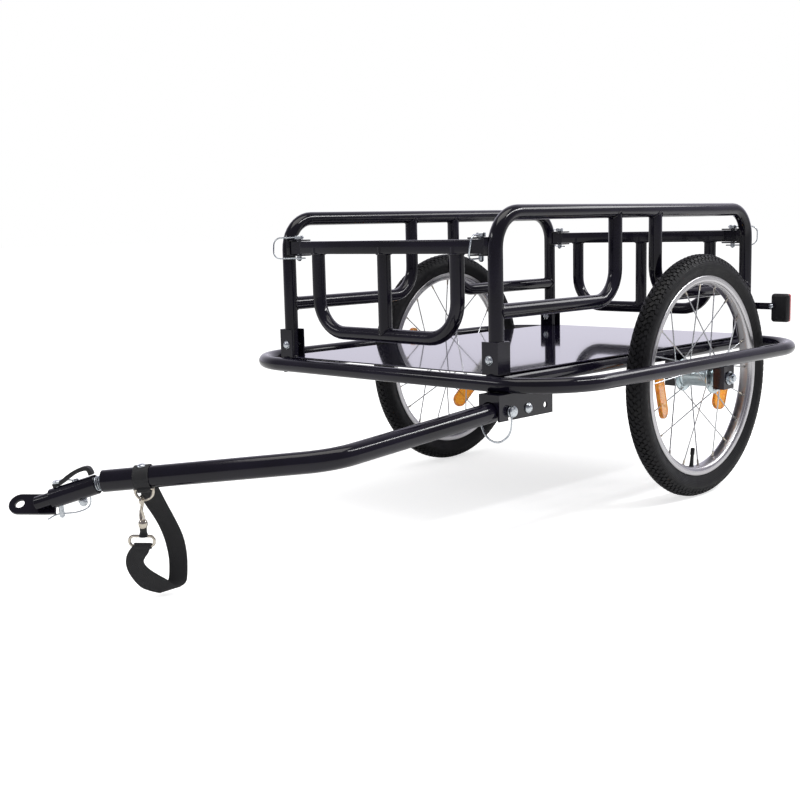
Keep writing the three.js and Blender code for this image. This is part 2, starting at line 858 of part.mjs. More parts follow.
// Axle plates: folded sheet welded under the rail inboard and to the loop outboard of each wheel.
function axlePlate(side, offset) {
  const outer = offset > 0;
  const y = wheel_half_track + offset;
  const inward = outer ? -1 : 1;
  const top = wheel_r + plate_rise;
  const bottom = wheel_r - plate_drop;
  const half = plate_w / 2;
  const back = y - (inward * plate_t) / 2;
  const reach = back + inward * (plate_flange + plate_t);
  const body = box(-half, half, Math.min(back, reach), Math.max(back, reach), bottom, top);
  const inner_face = back + inward * plate_t;
  const beyond = reach + inward * cut_overrun;
  const hollow = box(
    plate_t - half,
    half - plate_t,
    Math.min(inner_face, beyond),
    Math.max(inner_face, beyond),
    bottom - cut_overrun,
    top + cut_overrun,
  );
  const hole = rod(vec(0, y - plate_w, wheel_r), vec(0, y + plate_w, wheel_r), axle_d / 2 + seat_gap);
  const plate = cut(body, hollow, hole, outer ? loop_clearance : rail_clearances[0]);
  const over_loop = box(-plate_w, plate_w, 0, y + plate_w, loop_z, top + cut_overrun);
  const under = outer ? plate : cut(plate, over_loop);
  return side > 0 ? under : mirrored(under);
}

for (const side of [1, -1]) {
  const name = side > 0 ? 'left' : 'right';
  const wheel = groupAt(trailer, 0, side * wheel_half_track, wheel_r);
  place(wheel, `tyre_${name}`, tyre(), tread_rubber);
  place(wheel, `rim_${name}`, rim(side), alloy);
  place(wheel, `hub_and_spokes_${name}`, hubAndSpokes(), galvanised);
  const turns_deg = side > 0 ? near_reflector_turns_deg : far_reflector_turns_deg;
  turns_deg.forEach((turn_deg, i) => (
    place(wheel, `wheel_reflector_${name}_${i + 1}`, wheelReflector(turn_deg), amber)));
  place(wheel, `axle_${name}`, axle(), zinc);
  place(trailer, `axle_plate_inner_${name}`, axlePlate(side, -plate_half_track), gloss_black);
  place(trailer, `axle_plate_outer_${name}`, axlePlate(side, plate_half_track), gloss_black);
}

// Tow bracket: a channel open underneath, with an arched front and slots that let the lock pin drop out.
const bracket_top = loop_z - tube_r - seat_gap;
const bracket_bottom = bracket_top - bracket_drop;
const bracket_half = bracket_inner_w / 2 + bracket_sheet_t;
function towBracket() {
  const inner_half = bracket_inner_w / 2;
  const body = box(
    bracket_rear_x,
    bracket_front_x,
    bracket_y - bracket_half,
    bracket_y + bracket_half,
    bracket_bottom,
    bracket_top,
  );
  const channel = box(
    bracket_rear_x - cut_overrun,
    bracket_front_x - bracket_sheet_t,
    bracket_y - inner_half,
    bracket_y + inner_half,
    bracket_bottom - cut_overrun,
    bracket_top - bracket_sheet_t,
  );
  const arm_z = pivot_z + arm_axis_rise - (bracket_front_x - pivot_x) * Math.tan(rad(arm_slope_deg));
  const arch = new THREE.Shape();
  arch.moveTo(-inner_half, bracket_bottom - cut_overrun);
  arch.lineTo(inner_half, bracket_bottom - cut_overrun);
  arch.lineTo(inner_half, arm_z);
  arch.absarc(0, arm_z, inner_half, 0, Math.PI);
  const arch_cut = slab(arch, bracket_sheet_t + 2 * cut_overrun, 12);
  arch_cut.rotateX(Math.PI / 2).rotateZ(Math.PI / 2);
  arch_cut.translate(bracket_front_x - bracket_sheet_t - cut_overrun, bracket_y, 0);
  const across = (x, z, radius) => rod(
    vec(x, bracket_y - bracket_half - cut_overrun, z),
    vec(x, bracket_y + bracket_half + cut_overrun, z),
    radius,
  );
  const slot_r = lock_pin_d / 2 + running_gap;
  const slot = new THREE.Shape();
  const slot_end = rad(-lock_slot_sweep_deg);
  slot.absarc(0, 0, lock_reach + slot_r, 0, slot_end, true);
  slot.absarc(0, 0, lock_reach - slot_r, slot_end, 0, false);
  const slot_cut = slab(slot, 2 * (bracket_half + cut_overrun), 8).rotateX(Math.PI / 2);
  slot_cut.translate(pivot_x, bracket_y + bracket_half + cut_overrun, pivot_z);
  return cut(
    body,
    channel,
    arch_cut,
    across(pivot_x, pivot_z, pivot_d / 2 + seat_gap),
    across(spare_hole_x, pivot_z, spare_hole_d / 2),
    across(pivot_x + lock_reach, pivot_z, slot_r),
    slot_cut,
  );
}
place(trailer, 'tow_bracket', towBracket(), gloss_black);

// Pivot bolt: dome head outboard, nut inboard, about its own axis along Y.
function pivotBolt() {
  const grip = bracket_half + seat_gap;
  const [shank, head] = [pivot_d / 2, pivot_head_d / 2];
  return turned([
    [0, -grip - pivot_head_h],
    [head, -grip - pivot_head_h],
    [head, -grip],
    [shank, -grip],
    [shank, grip],
    [head, grip],
    [head, grip + pivot_head_h],
    [0, grip + pivot_head_h],
  ]).rotateX(-Math.PI / 2);
}
place(trailer, 'pivot_bolt', pivotBolt(), zinc).position.set(pivot_x, bracket_y, pivot_z);

// Tow arm: built about its pivot, with bores for the pivot bolt, the lock pin and the hitch spring.
const arm = groupAt(trailer, pivot_x, bracket_y, pivot_z);
const first_leg = vec(Math.cos(rad(arm_slope_deg)), 0, -Math.sin(rad(arm_slope_deg)));
const second_leg = vec(
  Math.cos(rad(arm_end_slope_deg)) * Math.cos(rad(arm_turn_deg)),
  -Math.cos(rad(arm_end_slope_deg)) * Math.sin(rad(arm_turn_deg)),
  -Math.sin(rad(arm_end_slope_deg)),
);
const arm_root = vec(0, 0, arm_axis_rise);
const arm_bend = arm_root.clone().addScaledVector(first_leg, arm_bend_reach);
const arm_tip = arm_bend.clone().addScaledVector(second_leg, arm_end_length);
const spring_bore_r = spring_outer_r + spring_bore_gap;
function towArm() {
  const body = tube([
    arm_root.clone().addScaledVector(first_leg, -arm_stub),
    arm_bend,
    arm_tip,
  ], arm_bend_r, arm_d / 2, tube_sides, 8);
  const across = (place_along, radius) => rod(
    vec(place_along, -arm_d, 0),
    vec(place_along, arm_d, 0),
    radius,
  );
  const spring_bore = rod(
    arm_tip.clone().addScaledVector(second_leg, -spring_depth - running_gap),
    arm_tip.clone().addScaledVector(second_leg, cut_overrun),
    spring_bore_r,
  );
  const pivot_bore = across(0, pivot_d / 2 + seat_gap);
  const lock_bore = across(lock_reach, lock_pin_d / 2 + seat_gap);
  return cut(body, pivot_bore, lock_bore, spring_bore);
}
place(arm, 'tow_arm', towArm(), gloss_black);

// Lock pin and its bail: the pin crosses the bracket, the bail hangs from it and passes under the arm.
const lock = groupAt(arm, lock_reach, 0, 0);
const lock_seat = bracket_half + seat_gap;
const bail_r = bail_wire_d / 2;
function lockPin() {
  const [shank, head] = [lock_pin_d / 2, lock_pin_head_d / 2];
  const head_in = lock_seat + lock_pin_stand;
  return turned([
    [0, -lock_seat - lock_pin_tip],
    [shank - pin_tip_taper, -lock_seat - lock_pin_tip],
    [shank, pin_tip_taper - lock_seat - lock_pin_tip],
    [shank, head_in],
    [head, head_in],
    [head, head_in + lock_pin_head_h],
    [0, head_in + lock_pin_head_h],
  ]).rotateX(-Math.PI / 2);
}
place(lock, 'lock_pin', lockPin(), zinc);

function lockPinBail() {
  const eye_y = lock_seat + lock_pin_stand / 2;
  const eye_steps = 12;
  const eye = [];
  for (let i = 0; i < eye_steps; i += 1) {
    const angle = (2 * Math.PI * i) / eye_steps;
    const tangent = vec(-Math.sin(angle), 0, Math.cos(angle));
    eye.push({ point: vec(bail_eye_r * Math.cos(angle), eye_y, bail_eye_r * Math.sin(angle)), tangent });
  }
  const eye_run = new Run([...eye, eye[0]]);
  const eye_ring = new THREE.TubeGeometry(eye_run, eye_steps, bail_r, wire_sides, true);
  const leg = tube([
    vec(0, eye_y, -bail_eye_r),
    vec(0, eye_y, -bail_far_rise + bail_bend_r / 2),
    vec(0, eye_y - bail_bend_r, -bail_depth),
    vec(0, -bail_far_y + bail_bend_r, -bail_depth),
    vec(0, -bail_far_y, -bail_far_rise),
  ], bail_bend_r / 2, bail_r, wire_sides, 4);
  return join(eye_ring, leg);
}
place(lock, 'lock_pin_bail', lockPinBail(), zinc);

// Spring: one wire wound round an axis that runs down the arm's end, bends, and runs into the coupling.
const hitch = groupAt(arm, arm_tip.x, arm_tip.y, arm_tip.z);
hitch.rotation.z = -rad(arm_turn_deg);
const arm_pitch = rad(arm_end_slope_deg);
const coupling_pitch = rad(coupling_slope_deg);
const along_arm = vec(Math.cos(arm_pitch), 0, -Math.sin(arm_pitch));
const along_coupling = vec(Math.cos(coupling_pitch), 0, -Math.sin(coupling_pitch));
const coupling_start = along_arm.clone().multiplyScalar(hitch_gap).add(vec(0, 0, -coupling_sag));
const spring_run_length = hitch_gap + 2 * spring_depth - spring_wire_d;
const spring_tail = spring_depth - spring_wire_d / 2;
const spring_axis = new THREE.CubicBezierCurve3(
  along_arm.clone().multiplyScalar(-spring_tail),
  along_arm.clone().multiplyScalar(spring_run_length / 3 - spring_tail),
  coupling_start.clone().addScaledVector(along_coupling, spring_tail - spring_run_length / 3),
  coupling_start.clone().addScaledVector(along_coupling, spring_tail),
);
const spring_mean_r = spring_outer_r - spring_wire_d / 2;
const spring_curls = Math.floor(spring_run_length / spring_pitch);
const spring_steps = spring_curls * spring_curl_steps;
function springPoint(step) {
  const point = spring_axis.getPoint(step / spring_steps);
  const tangent = spring_axis.getTangent(step / spring_steps);
  const up = vec(-tangent.z, 0, tangent.x);
  const angle = (2 * Math.PI * step) / spring_curl_steps;
  point.addScaledVector(up, spring_mean_r * Math.cos(angle));
  point.y += spring_mean_r * Math.sin(angle);
  return point;
}

function hitchSpring() {
  const stations = [];
  for (let i = 0; i <= spring_steps; i += 1) {
    const before = springPoint(Math.max(0, i - 1));
    const after = springPoint(Math.min(spring_steps, i + 1));
    stations.push({ point: springPoint(i), tangent: after.sub(before).normalize() });
  }
  let least = Infinity;
  for (let i = 0; i + spring_curl_steps / 2 <= spring_steps; i += 1) {
    for (let j = i + spring_curl_steps / 2; j <= Math.min(spring_steps, i + 2 * spring_curl_steps); j += 1) {
      least = Math.min(least, stations[i].point.distanceTo(stations[j].point));
    }
  }
  const own_gap = least - spring_wire_d;
  console.log(`hitch_spring: ${spring_curls} curls, least gap to itself ${own_gap.toFixed(2)} mm`);
  if (own_gap < spring_least_gap) console.warn('hitch_spring: the curls lie too close');
  return sweep(new Run(stations), roundSection(spring_wire_d / 2, spring_sides));
}
place(hitch, 'hitch_spring', hitchSpring(), zinc);

// Coupling tube, about its own rear end, with X along its axis.
const coupling = groupAt(hitch, coupling_start.x, 0, coupling_start.z);
coupling.rotation.y = coupling_pitch;
const coupling_r = coupling_d / 2;
const pin_lean = rad(hitch_pin_lean_deg);
const hitch_pin_r = hitch_pin_d / 2;
const hitchPinBore = () => rod(vec(0, 0, -coupling_d), vec(0, 0, coupling_d), hitch_pin_r + seat_gap)
  .rotateY(-pin_lean)
  .translate(hitch_pin_place, 0, 0);
function couplingTube() {
  const body = rod(vec(0, 0, 0), vec(coupling_length, 0, 0), coupling_r, tube_sides);
  const spring_bore = rod(vec(-cut_overrun, 0, 0), vec(spring_depth + running_gap, 0, 0), spring_bore_r);
  const stub_bore = rod(
    vec(coupling_length - tongue_stub_depth, 0, 0),
    vec(coupling_length + cut_overrun, 0, 0),
    tongue_stub_d / 2 + seat_gap,
  );
  const bolt_bore = rod(
    vec(coupling_bolt_place, 0, -coupling_d),
    vec(coupling_bolt_place, 0, coupling_d),
    coupling_bolt_d / 2 + seat_gap,
  );
  return cut(body, spring_bore, stub_bore, bolt_bore, hitchPinBore());
}
place(coupling, 'coupling_tube', couplingTube(), gloss_black);

function couplingBolt() {
  const grip = coupling_r + seat_gap;
  const [shank, head] = [coupling_bolt_d / 2, coupling_bolt_head_d / 2];
  return turned([
    [0, -grip - coupling_nut_h],
    [head / 2, -grip - coupling_nut_h],
    [head, -grip - coupling_nut_h / 2],
    [head, -grip],
    [shank, -grip],
    [shank, grip],
    [head, grip],
    [head / 2, grip + coupling_bolt_d / 2],
    [0, grip + coupling_bolt_d / 2],
  ]).translate(coupling_bolt_place, 0, 0);
}
place(coupling, 'coupling_bolt', couplingBolt(), zinc);

// Hitch pin and its wire bail, about the pin's own axis.
const hitch_pin_group = groupAt(coupling, hitch_pin_place, 0, 0);
hitch_pin_group.rotation.y = -pin_lean;
const hitch_pin_seat = coupling_r / Math.cos(pin_lean) + hitch_pin_rise;
const hitch_bail_r = hitch_bail_wire_d / 2;
const hitch_bail_top = hitch_pin_seat + hitch_pin_head_h / 2;
const hitch_bail_bottom = -coupling_r - hitch_pin_tip + 2 * hitch_bail_wire_d;
function hitchPin() {
  const head = hitch_pin_head_d / 2;
  const body = turned([
    [0, -coupling_r - hitch_pin_tip],
    [hitch_pin_r - pin_tip_taper / 2, -coupling_r - hitch_pin_tip],
    [hitch_pin_r, pin_tip_taper - coupling_r - hitch_pin_tip],
    [hitch_pin_r, hitch_pin_seat],
    [head, hitch_pin_seat],
    [head, hitch_pin_seat + hitch_pin_head_h],
    [0, hitch_pin_seat + hitch_pin_head_h],
  ]);
  const bore = rod(
    vec(0, -hitch_pin_head_d, hitch_bail_top),
    vec(0, hitch_pin_head_d, hitch_bail_top),
    hitch_bail_r + seat_gap,
    wire_sides,
  );
  return cut(body, bore);
}
place(hitch_pin_group, 'hitch_pin', hitchPin(), zinc);

function hitchPinBail() {
  const beside = -hitch_pin_r - hitch_bail_r - seat_gap;
  return tube([
    vec(0, hitch_pin_head_d / 2 + hitch_bail_r, hitch_bail_top),
    vec(0, -hitch_bail_side, hitch_bail_top),
    vec(-hitch_bail_back, -hitch_bail_side, hitch_bail_top - hitch_bail_bend_r),
    vec(-hitch_bail_back, -hitch_bail_side, hitch_bail_bottom),
    vec(-hitch_pin_head_d / 2, beside, hitch_bail_bottom),
    vec(hitch_bail_tail, beside, hitch_bail_bottom),
  ], hitch_bail_bend_r / 2, hitch_bail_r, wire_sides, 4);
}
place(hitch_pin_group, 'hitch_pin_bail', hitchPinBail(), zinc);

// Leash: a flat moulded strap with an eye round the pin, arched back to the tube's rear end.
function pinLeash() {
  const top = coupling_r + seat_gap + leash_t / 2;
  const front = hitch_pin_place + hitch_pin_head_d / 2;
  const strap = sweep(openRun([
    vec(front, 0, top),
    vec(hitch_pin_place - hitch_pin_head_d, 0, top),
    vec(leash_peak_place, 0, top + leash_rise),
    vec(leash_rear_place, 0, top + leash_rise),
    vec(leash_rear_place, 0, coupling_r + seat_gap),
  ], leash_t * 2, 3), outline([
    [-leash_t / 2, -leash_w / 2],
    [leash_t / 2, -leash_w / 2],
    [leash_t / 2, leash_w / 2],
    [-leash_t / 2, leash_w / 2],
  ]));
  return cut(strap, hitchPinBore());
}
place(coupling, 'pin_leash', pinLeash(), black_plastic);

// Tongue: a stub in the coupling with a flat eye plate on its underside, level and tilted about its length.
function tongue() {
  const stub = rod(
    vec(coupling_length - tongue_stub_depth + running_gap, 0, 0),
    vec(coupling_length + tongue_stub_reach, 0, 0),
    tongue_stub_d / 2,
    tube_sides,
  );
  const half_w = tongue_plate_w / 2;
  const plate_shape = new THREE.Shape();
  plate_shape.moveTo(tongue_plate_rear, -half_w);
  plate_shape.absarc(tongue_eye_place, 0, half_w, -Math.PI / 2, Math.PI / 2);
  plate_shape.lineTo(tongue_plate_rear, half_w);
  const eye = new THREE.Path();
  eye.absarc(tongue_eye_place, 0, tongue_eye_d / 2, 0, 2 * Math.PI);
  plate_shape.holes.push(eye);
  const plate = slab(plate_shape, tongue_plate_t, 8).translate(0, 0, -tongue_stub_d / 2);
  plate.rotateX(-Math.PI / 2 + rad(tongue_tilt_deg));
  const crank = coupling_length + tongue_crank_reach;
  plate.translate(-crank, 0, 0).rotateY(-coupling_pitch).translate(crank, 0, 0);
  const clear = rod(
    vec(0, 0, 0),
    vec(coupling_length + running_gap, 0, 0),
    coupling_r + running_gap,
    tube_sides,
  );
  const trimmed = cut(plate, clear);
  return cut(join(stub, trimmed), hitchPinBore());
}
place(coupling, 'tongue', tongue(), gloss_black);

// Strap group: hangs from the arm's second leg, with X forward along the leg seen from above.
const strap_point = arm_tip.clone().addScaledVector(second_leg, -strap_place);
const strap = groupAt(arm, strap_point.x, strap_point.y, strap_point.z);
strap.rotation.z = -rad(arm_turn_deg);
const collar_r = arm_d / 2 + seat_gap;
const ring_r = ring_wire_d / 2;
const ring_hang_r = collar_r + ring_r + seat_gap;
const ring_bar_y = ring_hang_r * Math.sin(rad(ring_turn_deg));
const ring_bar_z = -ring_hang_r * Math.cos(rad(ring_turn_deg));
function strapWebbing() {
  const half = collar_w / 2;
  const collar = rod(vec(-half, 0, 0), vec(half, 0, 0), collar_r + strap_t, 16);
  const sleeve = rod(
    vec(ring_shift - ring_sleeve_w / 2, ring_bar_y, ring_bar_z),
    vec(ring_shift + ring_sleeve_w / 2, ring_bar_y, ring_bar_z),
    ring_r + seat_gap + strap_t,
    8,
  );
  const arm_bore = rod(vec(-collar_w, 0, 0), vec(collar_w, 0, 0), collar_r / Math.cos(Math.PI / 16), 16);
  const ring_bore = rod(
    vec(-collar_w, ring_bar_y, ring_bar_z),
    vec(collar_w, ring_bar_y, ring_bar_z),
    ring_r + seat_gap,
    8,
  );
  const upper = [collar, sleeve, arm_bore, ring_bore].map((piece) => piece.rotateY(arm_pitch));
  const bar_z = -loop_bar_drop;
  const loop_r = loop_wire_d / 2;
  const lower_sleeve = rod(
    vec(loop_shift - strap_sleeve_w / 2, ring_bar_y, bar_z),
    vec(loop_shift + strap_sleeve_w / 2, ring_bar_y, bar_z),
    loop_r + seat_gap + strap_t,
    8,
  );
  const bar_bore = rod(
    vec(-strap_w, ring_bar_y, bar_z),
    vec(2 * strap_w, ring_bar_y, bar_z),
    loop_r + seat_gap,
    8,
  );
  // Free length of webbing: points chosen by hand along its middle, width mostly along X.
  const route = new THREE.CatmullRomCurve3([
    vec(loop_shift, ring_bar_y, bar_z - strap_t),
    vec(10.5, 9, -104),
    vec(14, 5, -122),
    vec(7, -3, -138),
    vec(-6, -12, -146.3),
    vec(-20, -20, -145.3),
    vec(-29, -25, -133),
    vec(-31, -26, -110),
    vec(-29, -25, -86),
    vec(-21, -22, -62),
    vec(-12, -17, -40),
    vec(-6, -12, -23),
    vec(-4, -7.5, -13.6),
  ]);
  const route_steps = 26;
  const stations = [];
  for (let i = 0; i <= route_steps; i += 1) {
    const share = i / route_steps;
    const point = route.getPointAt(share);
    const tangent = route.getTangentAt(share);
    stations.push({ point, tangent, width: vec(1, 0.1, 0) });
  }
  const ribbon = sweep(new RibbonRun(stations), outline([
    [-strap_w / 2, -strap_t / 2],
    [strap_w / 2, -strap_t / 2],
    [strap_w / 2, strap_t / 2],
    [-strap_w / 2, strap_t / 2],
  ]));
  return cut(join(upper[0], upper[1], ribbon, lower_sleeve), upper[2], upper[3], bar_bore);
}
place(strap, 'strap_webbing', strapWebbing(), webbing);

function strapRing() {
  const low = ring_bar_z - ring_drop;
  const ring = closedTube([
    vec(ring_shift - ring_half_width, ring_bar_y, ring_bar_z),
    vec(ring_shift - ring_half_width, ring_bar_y, low),
    vec(ring_shift + ring_half_width, ring_bar_y, low),
    vec(ring_shift + ring_half_width, ring_bar_y, ring_bar_z),
  ], [ring_r, ring_bend_r, ring_bend_r, ring_r], ring_r, wire_sides, 5);
  return ring.rotateY(arm_pitch);
}
place(strap, 'strap_ring', strapRing(), nickel);

// Snap hook: bow round the ring, shank, swivel body and the rectangular loop that holds the webbing.
const ring_low = ring_bar_z - ring_drop;
const hook_x = (ring_shift + loop_shift) / 2;
function snapHook() {
  const wire = hook_wire_d / 2;
  const bow = [];
  const bow_steps = 8;
  const centre_z = ring_low - hook_bow_r + ring_r + seat_gap + wire;
  for (let i = 0; i <= bow_steps; i += 1) {
    const angle = -Math.PI / 6 + ((Math.PI + Math.PI / 6) * i) / bow_steps;
    const point = vec(hook_x, hook_bow_r * Math.cos(angle), centre_z + hook_bow_r * Math.sin(angle));
    bow.push({ point, tangent: vec(0, -Math.sin(angle), Math.cos(angle)) });
  }
  const shank_end = -swivel_drop + hook_body_d;
  bow.push({ point: vec(hook_x, -hook_bow_r, shank_end), tangent: vec(0, 0, -1) });
  const hook = sweep(new Run(bow), roundSection(wire, wire_sides));
  const body = turned([
    [0, shank_end - hook_body_d],
    [hook_body_d / 2, shank_end - hook_body_d],
    [hook_body_d, shank_end - hook_body_d / 2],
    [hook_body_d, shank_end + wire],
    [0, shank_end + wire],
  ], 8).translate(hook_x, 0, 0);
  const loop = closedTube([
    vec(loop_shift - loop_half_w, 0, -loop_top_drop),
    vec(loop_shift - loop_half_w, 0, -loop_bar_drop),
    vec(loop_shift + loop_half_w, 0, -loop_bar_drop),
    vec(loop_shift + loop_half_w, 0, -loop_top_drop),
  ], [loop_bend_r, loop_wire_d, loop_wire_d, loop_bend_r], loop_wire_d / 2, wire_sides, 4);
  const neck = rod(
    vec(hook_x, 0, shank_end),
    vec(hook_x, 0, -loop_top_drop),
    swivel_neck_d / 2,
    8,
  );
  return join(hook, body, neck, loop);
}
place(strap, 'snap_hook', snapHook(), nickel).position.y = ring_bar_y;

// Snap gate: the sprung bar that closes the hook's bow, pivoted at the hook's body.
function snapHookGate() {
  const wire = hook_wire_d / 2;
  const top = ring_low - hook_bow_r - wire - seat_gap;
  const foot = -swivel_drop + hook_body_d + wire + running_gap + seat_gap;
  const half_t = hook_gate_t / 2;
  return box(hook_x - half_t, hook_x + half_t, hook_bow_r - half_t, hook_bow_r + half_t, foot, top);
}
place(strap, 'snap_hook_gate', snapHookGate(), nickel).position.y = ring_bar_y;

// Rear reflector: a clamp with a strip on the left rear post, a housing bolted to it, and its lens.
const lamp = groupAt(trailer, rear_post_x, panel_half_width, lamp_clamp_z);
const strip_x0 = -tube_r - seat_gap - lamp_strip_t;
const strip_x1 = -tube_r - seat_gap;
function reflectorBracket() {
  const half_h = lamp_strip_h / 2;
  const band = rod(vec(0, 0, -half_h), vec(0, 0, half_h), tube_r + seat_gap + lamp_strip_t, tube_sides);
  const strip = box(strip_x0, strip_x1, 0, lamp_strip_reach, -half_h, half_h);
  const post = rod(vec(0, 0, -lamp_strip_h), vec(0, 0, lamp_strip_h), tube_r + seat_gap, tube_sides);
  const bolt = rod(
    vec(strip_x0 - seat_gap - lamp_bolt_depth, lamp_bolt_reach, 0),
    vec(strip_x1 + lamp_bolt_head_h, lamp_bolt_reach, 0),
    lamp_bolt_d / 2,
  );
  const head = rod(
    vec(strip_x1 - seat_gap, lamp_bolt_reach, 0),
    vec(strip_x1 + lamp_bolt_head_h, lamp_bolt_reach, 0),
    lamp_bolt_head_d / 2,
  );
  return join(cut(join(band, strip), post), bolt, head);
}
place(lamp, 'reflector_bracket', reflectorBracket(), gloss_black);

const housing_x1 = strip_x0 - seat_gap;
const housing_x0 = housing_x1 - lamp_housing_t;
function reflectorHousing() {
  const shape = roundedOutline(lamp_housing_w, lamp_housing_h, lamp_housing_bend_r);
  const body = slab(shape, lamp_housing_t, 4).rotateX(Math.PI / 2).rotateZ(Math.PI / 2);
  body.translate(housing_x0, lamp_housing_out, -lamp_housing_drop);
  const bore = rod(
    vec(strip_x0 - 2 * seat_gap - lamp_bolt_depth, lamp_bolt_reach, 0),
    vec(strip_x1, lamp_bolt_reach, 0),
    lamp_bolt_d / 2 + seat_gap,
  );
  return cut(body, bore);
}
place(lamp, 'reflector_housing', reflectorHousing(), black_plastic);

function reflectorLens() {
  const width = lamp_housing_w - 2 * lamp_lens_inset;
  const height = lamp_housing_h - 2 * lamp_lens_inset;
  const shape = roundedOutline(width, height, lamp_housing_bend_r);
  const lens = new THREE.ExtrudeGeometry(shape, {
    depth: lamp_lens_t - lamp_lens_dome,
    bevelEnabled: false,
    curveSegments: 4,
  });
  const dome_shape = roundedOutline(width / 2, height / 2, lamp_housing_bend_r / 2);
  const dome_t = lamp_lens_dome + cut_overrun;
  const dome = slab(dome_shape, dome_t, 4).translate(0, 0, lamp_lens_t - dome_t);
  const body = join(lens, dome).rotateX(Math.PI / 2).rotateZ(-Math.PI / 2);
  return body.translate(housing_x0 - seat_gap, lamp_housing_out, -lamp_housing_drop);
}
place(lamp, 'reflector_lens', reflectorLens(), lens_red);

// Origin on the ground, under the middle of the whole trailer.
const bounds = new THREE.Box3().setFromObject(trailer, true);
trailer.position.set(-(bounds.min.x + bounds.max.x) / 2, -(bounds.min.y + bounds.max.y) / 2, 0);
trailer.updateMatrixWorld(true);

export default trailer;
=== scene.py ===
"""Looks of the two-wheeled cargo bike trailer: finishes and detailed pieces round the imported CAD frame.

Pieces are made in millimetres, in the same places as in the CAD source, and scaled to metres when they are
finished.
"""

import math

import bmesh
import bpy
from bpy.props import FloatProperty, FloatVectorProperty, IntProperty, PointerProperty
from mathutils import Matrix, Vector
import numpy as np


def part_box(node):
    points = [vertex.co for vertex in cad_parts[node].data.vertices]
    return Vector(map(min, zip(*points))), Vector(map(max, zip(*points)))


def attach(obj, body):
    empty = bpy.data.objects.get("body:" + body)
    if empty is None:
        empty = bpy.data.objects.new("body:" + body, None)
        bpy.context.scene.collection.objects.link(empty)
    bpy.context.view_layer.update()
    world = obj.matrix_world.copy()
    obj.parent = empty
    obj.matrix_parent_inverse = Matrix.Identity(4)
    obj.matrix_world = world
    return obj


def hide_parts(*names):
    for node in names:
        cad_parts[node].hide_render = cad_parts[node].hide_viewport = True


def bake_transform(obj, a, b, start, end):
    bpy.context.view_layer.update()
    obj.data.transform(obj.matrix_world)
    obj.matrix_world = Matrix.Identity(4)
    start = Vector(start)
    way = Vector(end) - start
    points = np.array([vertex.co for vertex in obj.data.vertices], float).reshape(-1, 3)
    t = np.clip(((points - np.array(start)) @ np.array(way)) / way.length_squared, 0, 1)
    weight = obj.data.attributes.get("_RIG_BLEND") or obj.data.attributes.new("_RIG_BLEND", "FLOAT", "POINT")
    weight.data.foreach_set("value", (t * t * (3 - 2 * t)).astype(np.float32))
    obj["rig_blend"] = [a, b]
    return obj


bl_info = {
    "name": "Cargo bike trailer",
    "version": (1, 0, 0),
    "blender": (4, 5, 0),
    "location": "View3D > Sidebar > Trailer",
    "description": "Builds the visible pieces and finishes of a two-wheeled cargo bike trailer",
    "category": "Object",
}

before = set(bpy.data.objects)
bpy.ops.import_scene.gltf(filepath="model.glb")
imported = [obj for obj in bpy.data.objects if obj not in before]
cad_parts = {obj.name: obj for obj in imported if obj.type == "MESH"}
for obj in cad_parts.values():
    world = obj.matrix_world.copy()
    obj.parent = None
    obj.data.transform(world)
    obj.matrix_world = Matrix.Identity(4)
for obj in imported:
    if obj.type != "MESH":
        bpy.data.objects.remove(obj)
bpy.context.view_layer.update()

MM = 0.001

# Base frame and deck, in millimetres as in the CAD source
LOOP_Z = 233
LOOP_FRONT_X = 470.5
LOOP_REAR_X = -271
LOOP_HALF_WIDTH = 342
LOOP_BEND_R = 115
RAIL_HALF_WIDTH = 220
TUBE_R = 11
# Tubes that end on another are a little slimmer, so that no two skins lie in one place
BRANCH_R = TUBE_R - 0.1
CROSS_R = TUBE_R - 0.2

# Side panels
PANEL_Y = 220.75
FRONT_POST_X = 450.4
REAR_POST_X = -251.1
PANEL_TOP_Z = 471.4
PANEL_BEND_R = 50
BRACE_Z = 332.8
BRACE_BEND_R = 50
FRONT_BRACE_X = 158.2
REAR_BRACE_X = 44.4
POST_FOOT_Z = 247

# Foot bolts
FOOT_BOLT_Z = 265
FOOT_BOLT_Y = 218.5
FOOT_GRIP = 14.1
FOOT_HEAD_R = 7
FOOT_HEAD_H = 4

# Clevises, gates and gate pins
CLEVIS_TIP = 42.75
CLEVIS_WEB = 13.25
CLEVIS_HALF = 10
CLEVIS_T = 2.5
CLEVIS_TOP_Z = 437.65
CLEVIS_BOTTOM_Z = 411.15
PIN_INSET = 25.75
PIN_R = 4
GATE_Z = 424.4
GATE_RAIL_W = 20
GATE_RAIL_H = 20.5
GATE_RAIL_HALF = 183
GATE_LUG_W = 16
GATE_LUG_END = 207
GATE_HOOP_Y = 148.8
GATE_HOOP_DROP = 134.9
GATE_HOOP_BEND_R = 56
GATE_TUBE_R = 10.7
CLIP_REACH = 43
CLIP_TAIL = 12
CLIP_R = 1.25

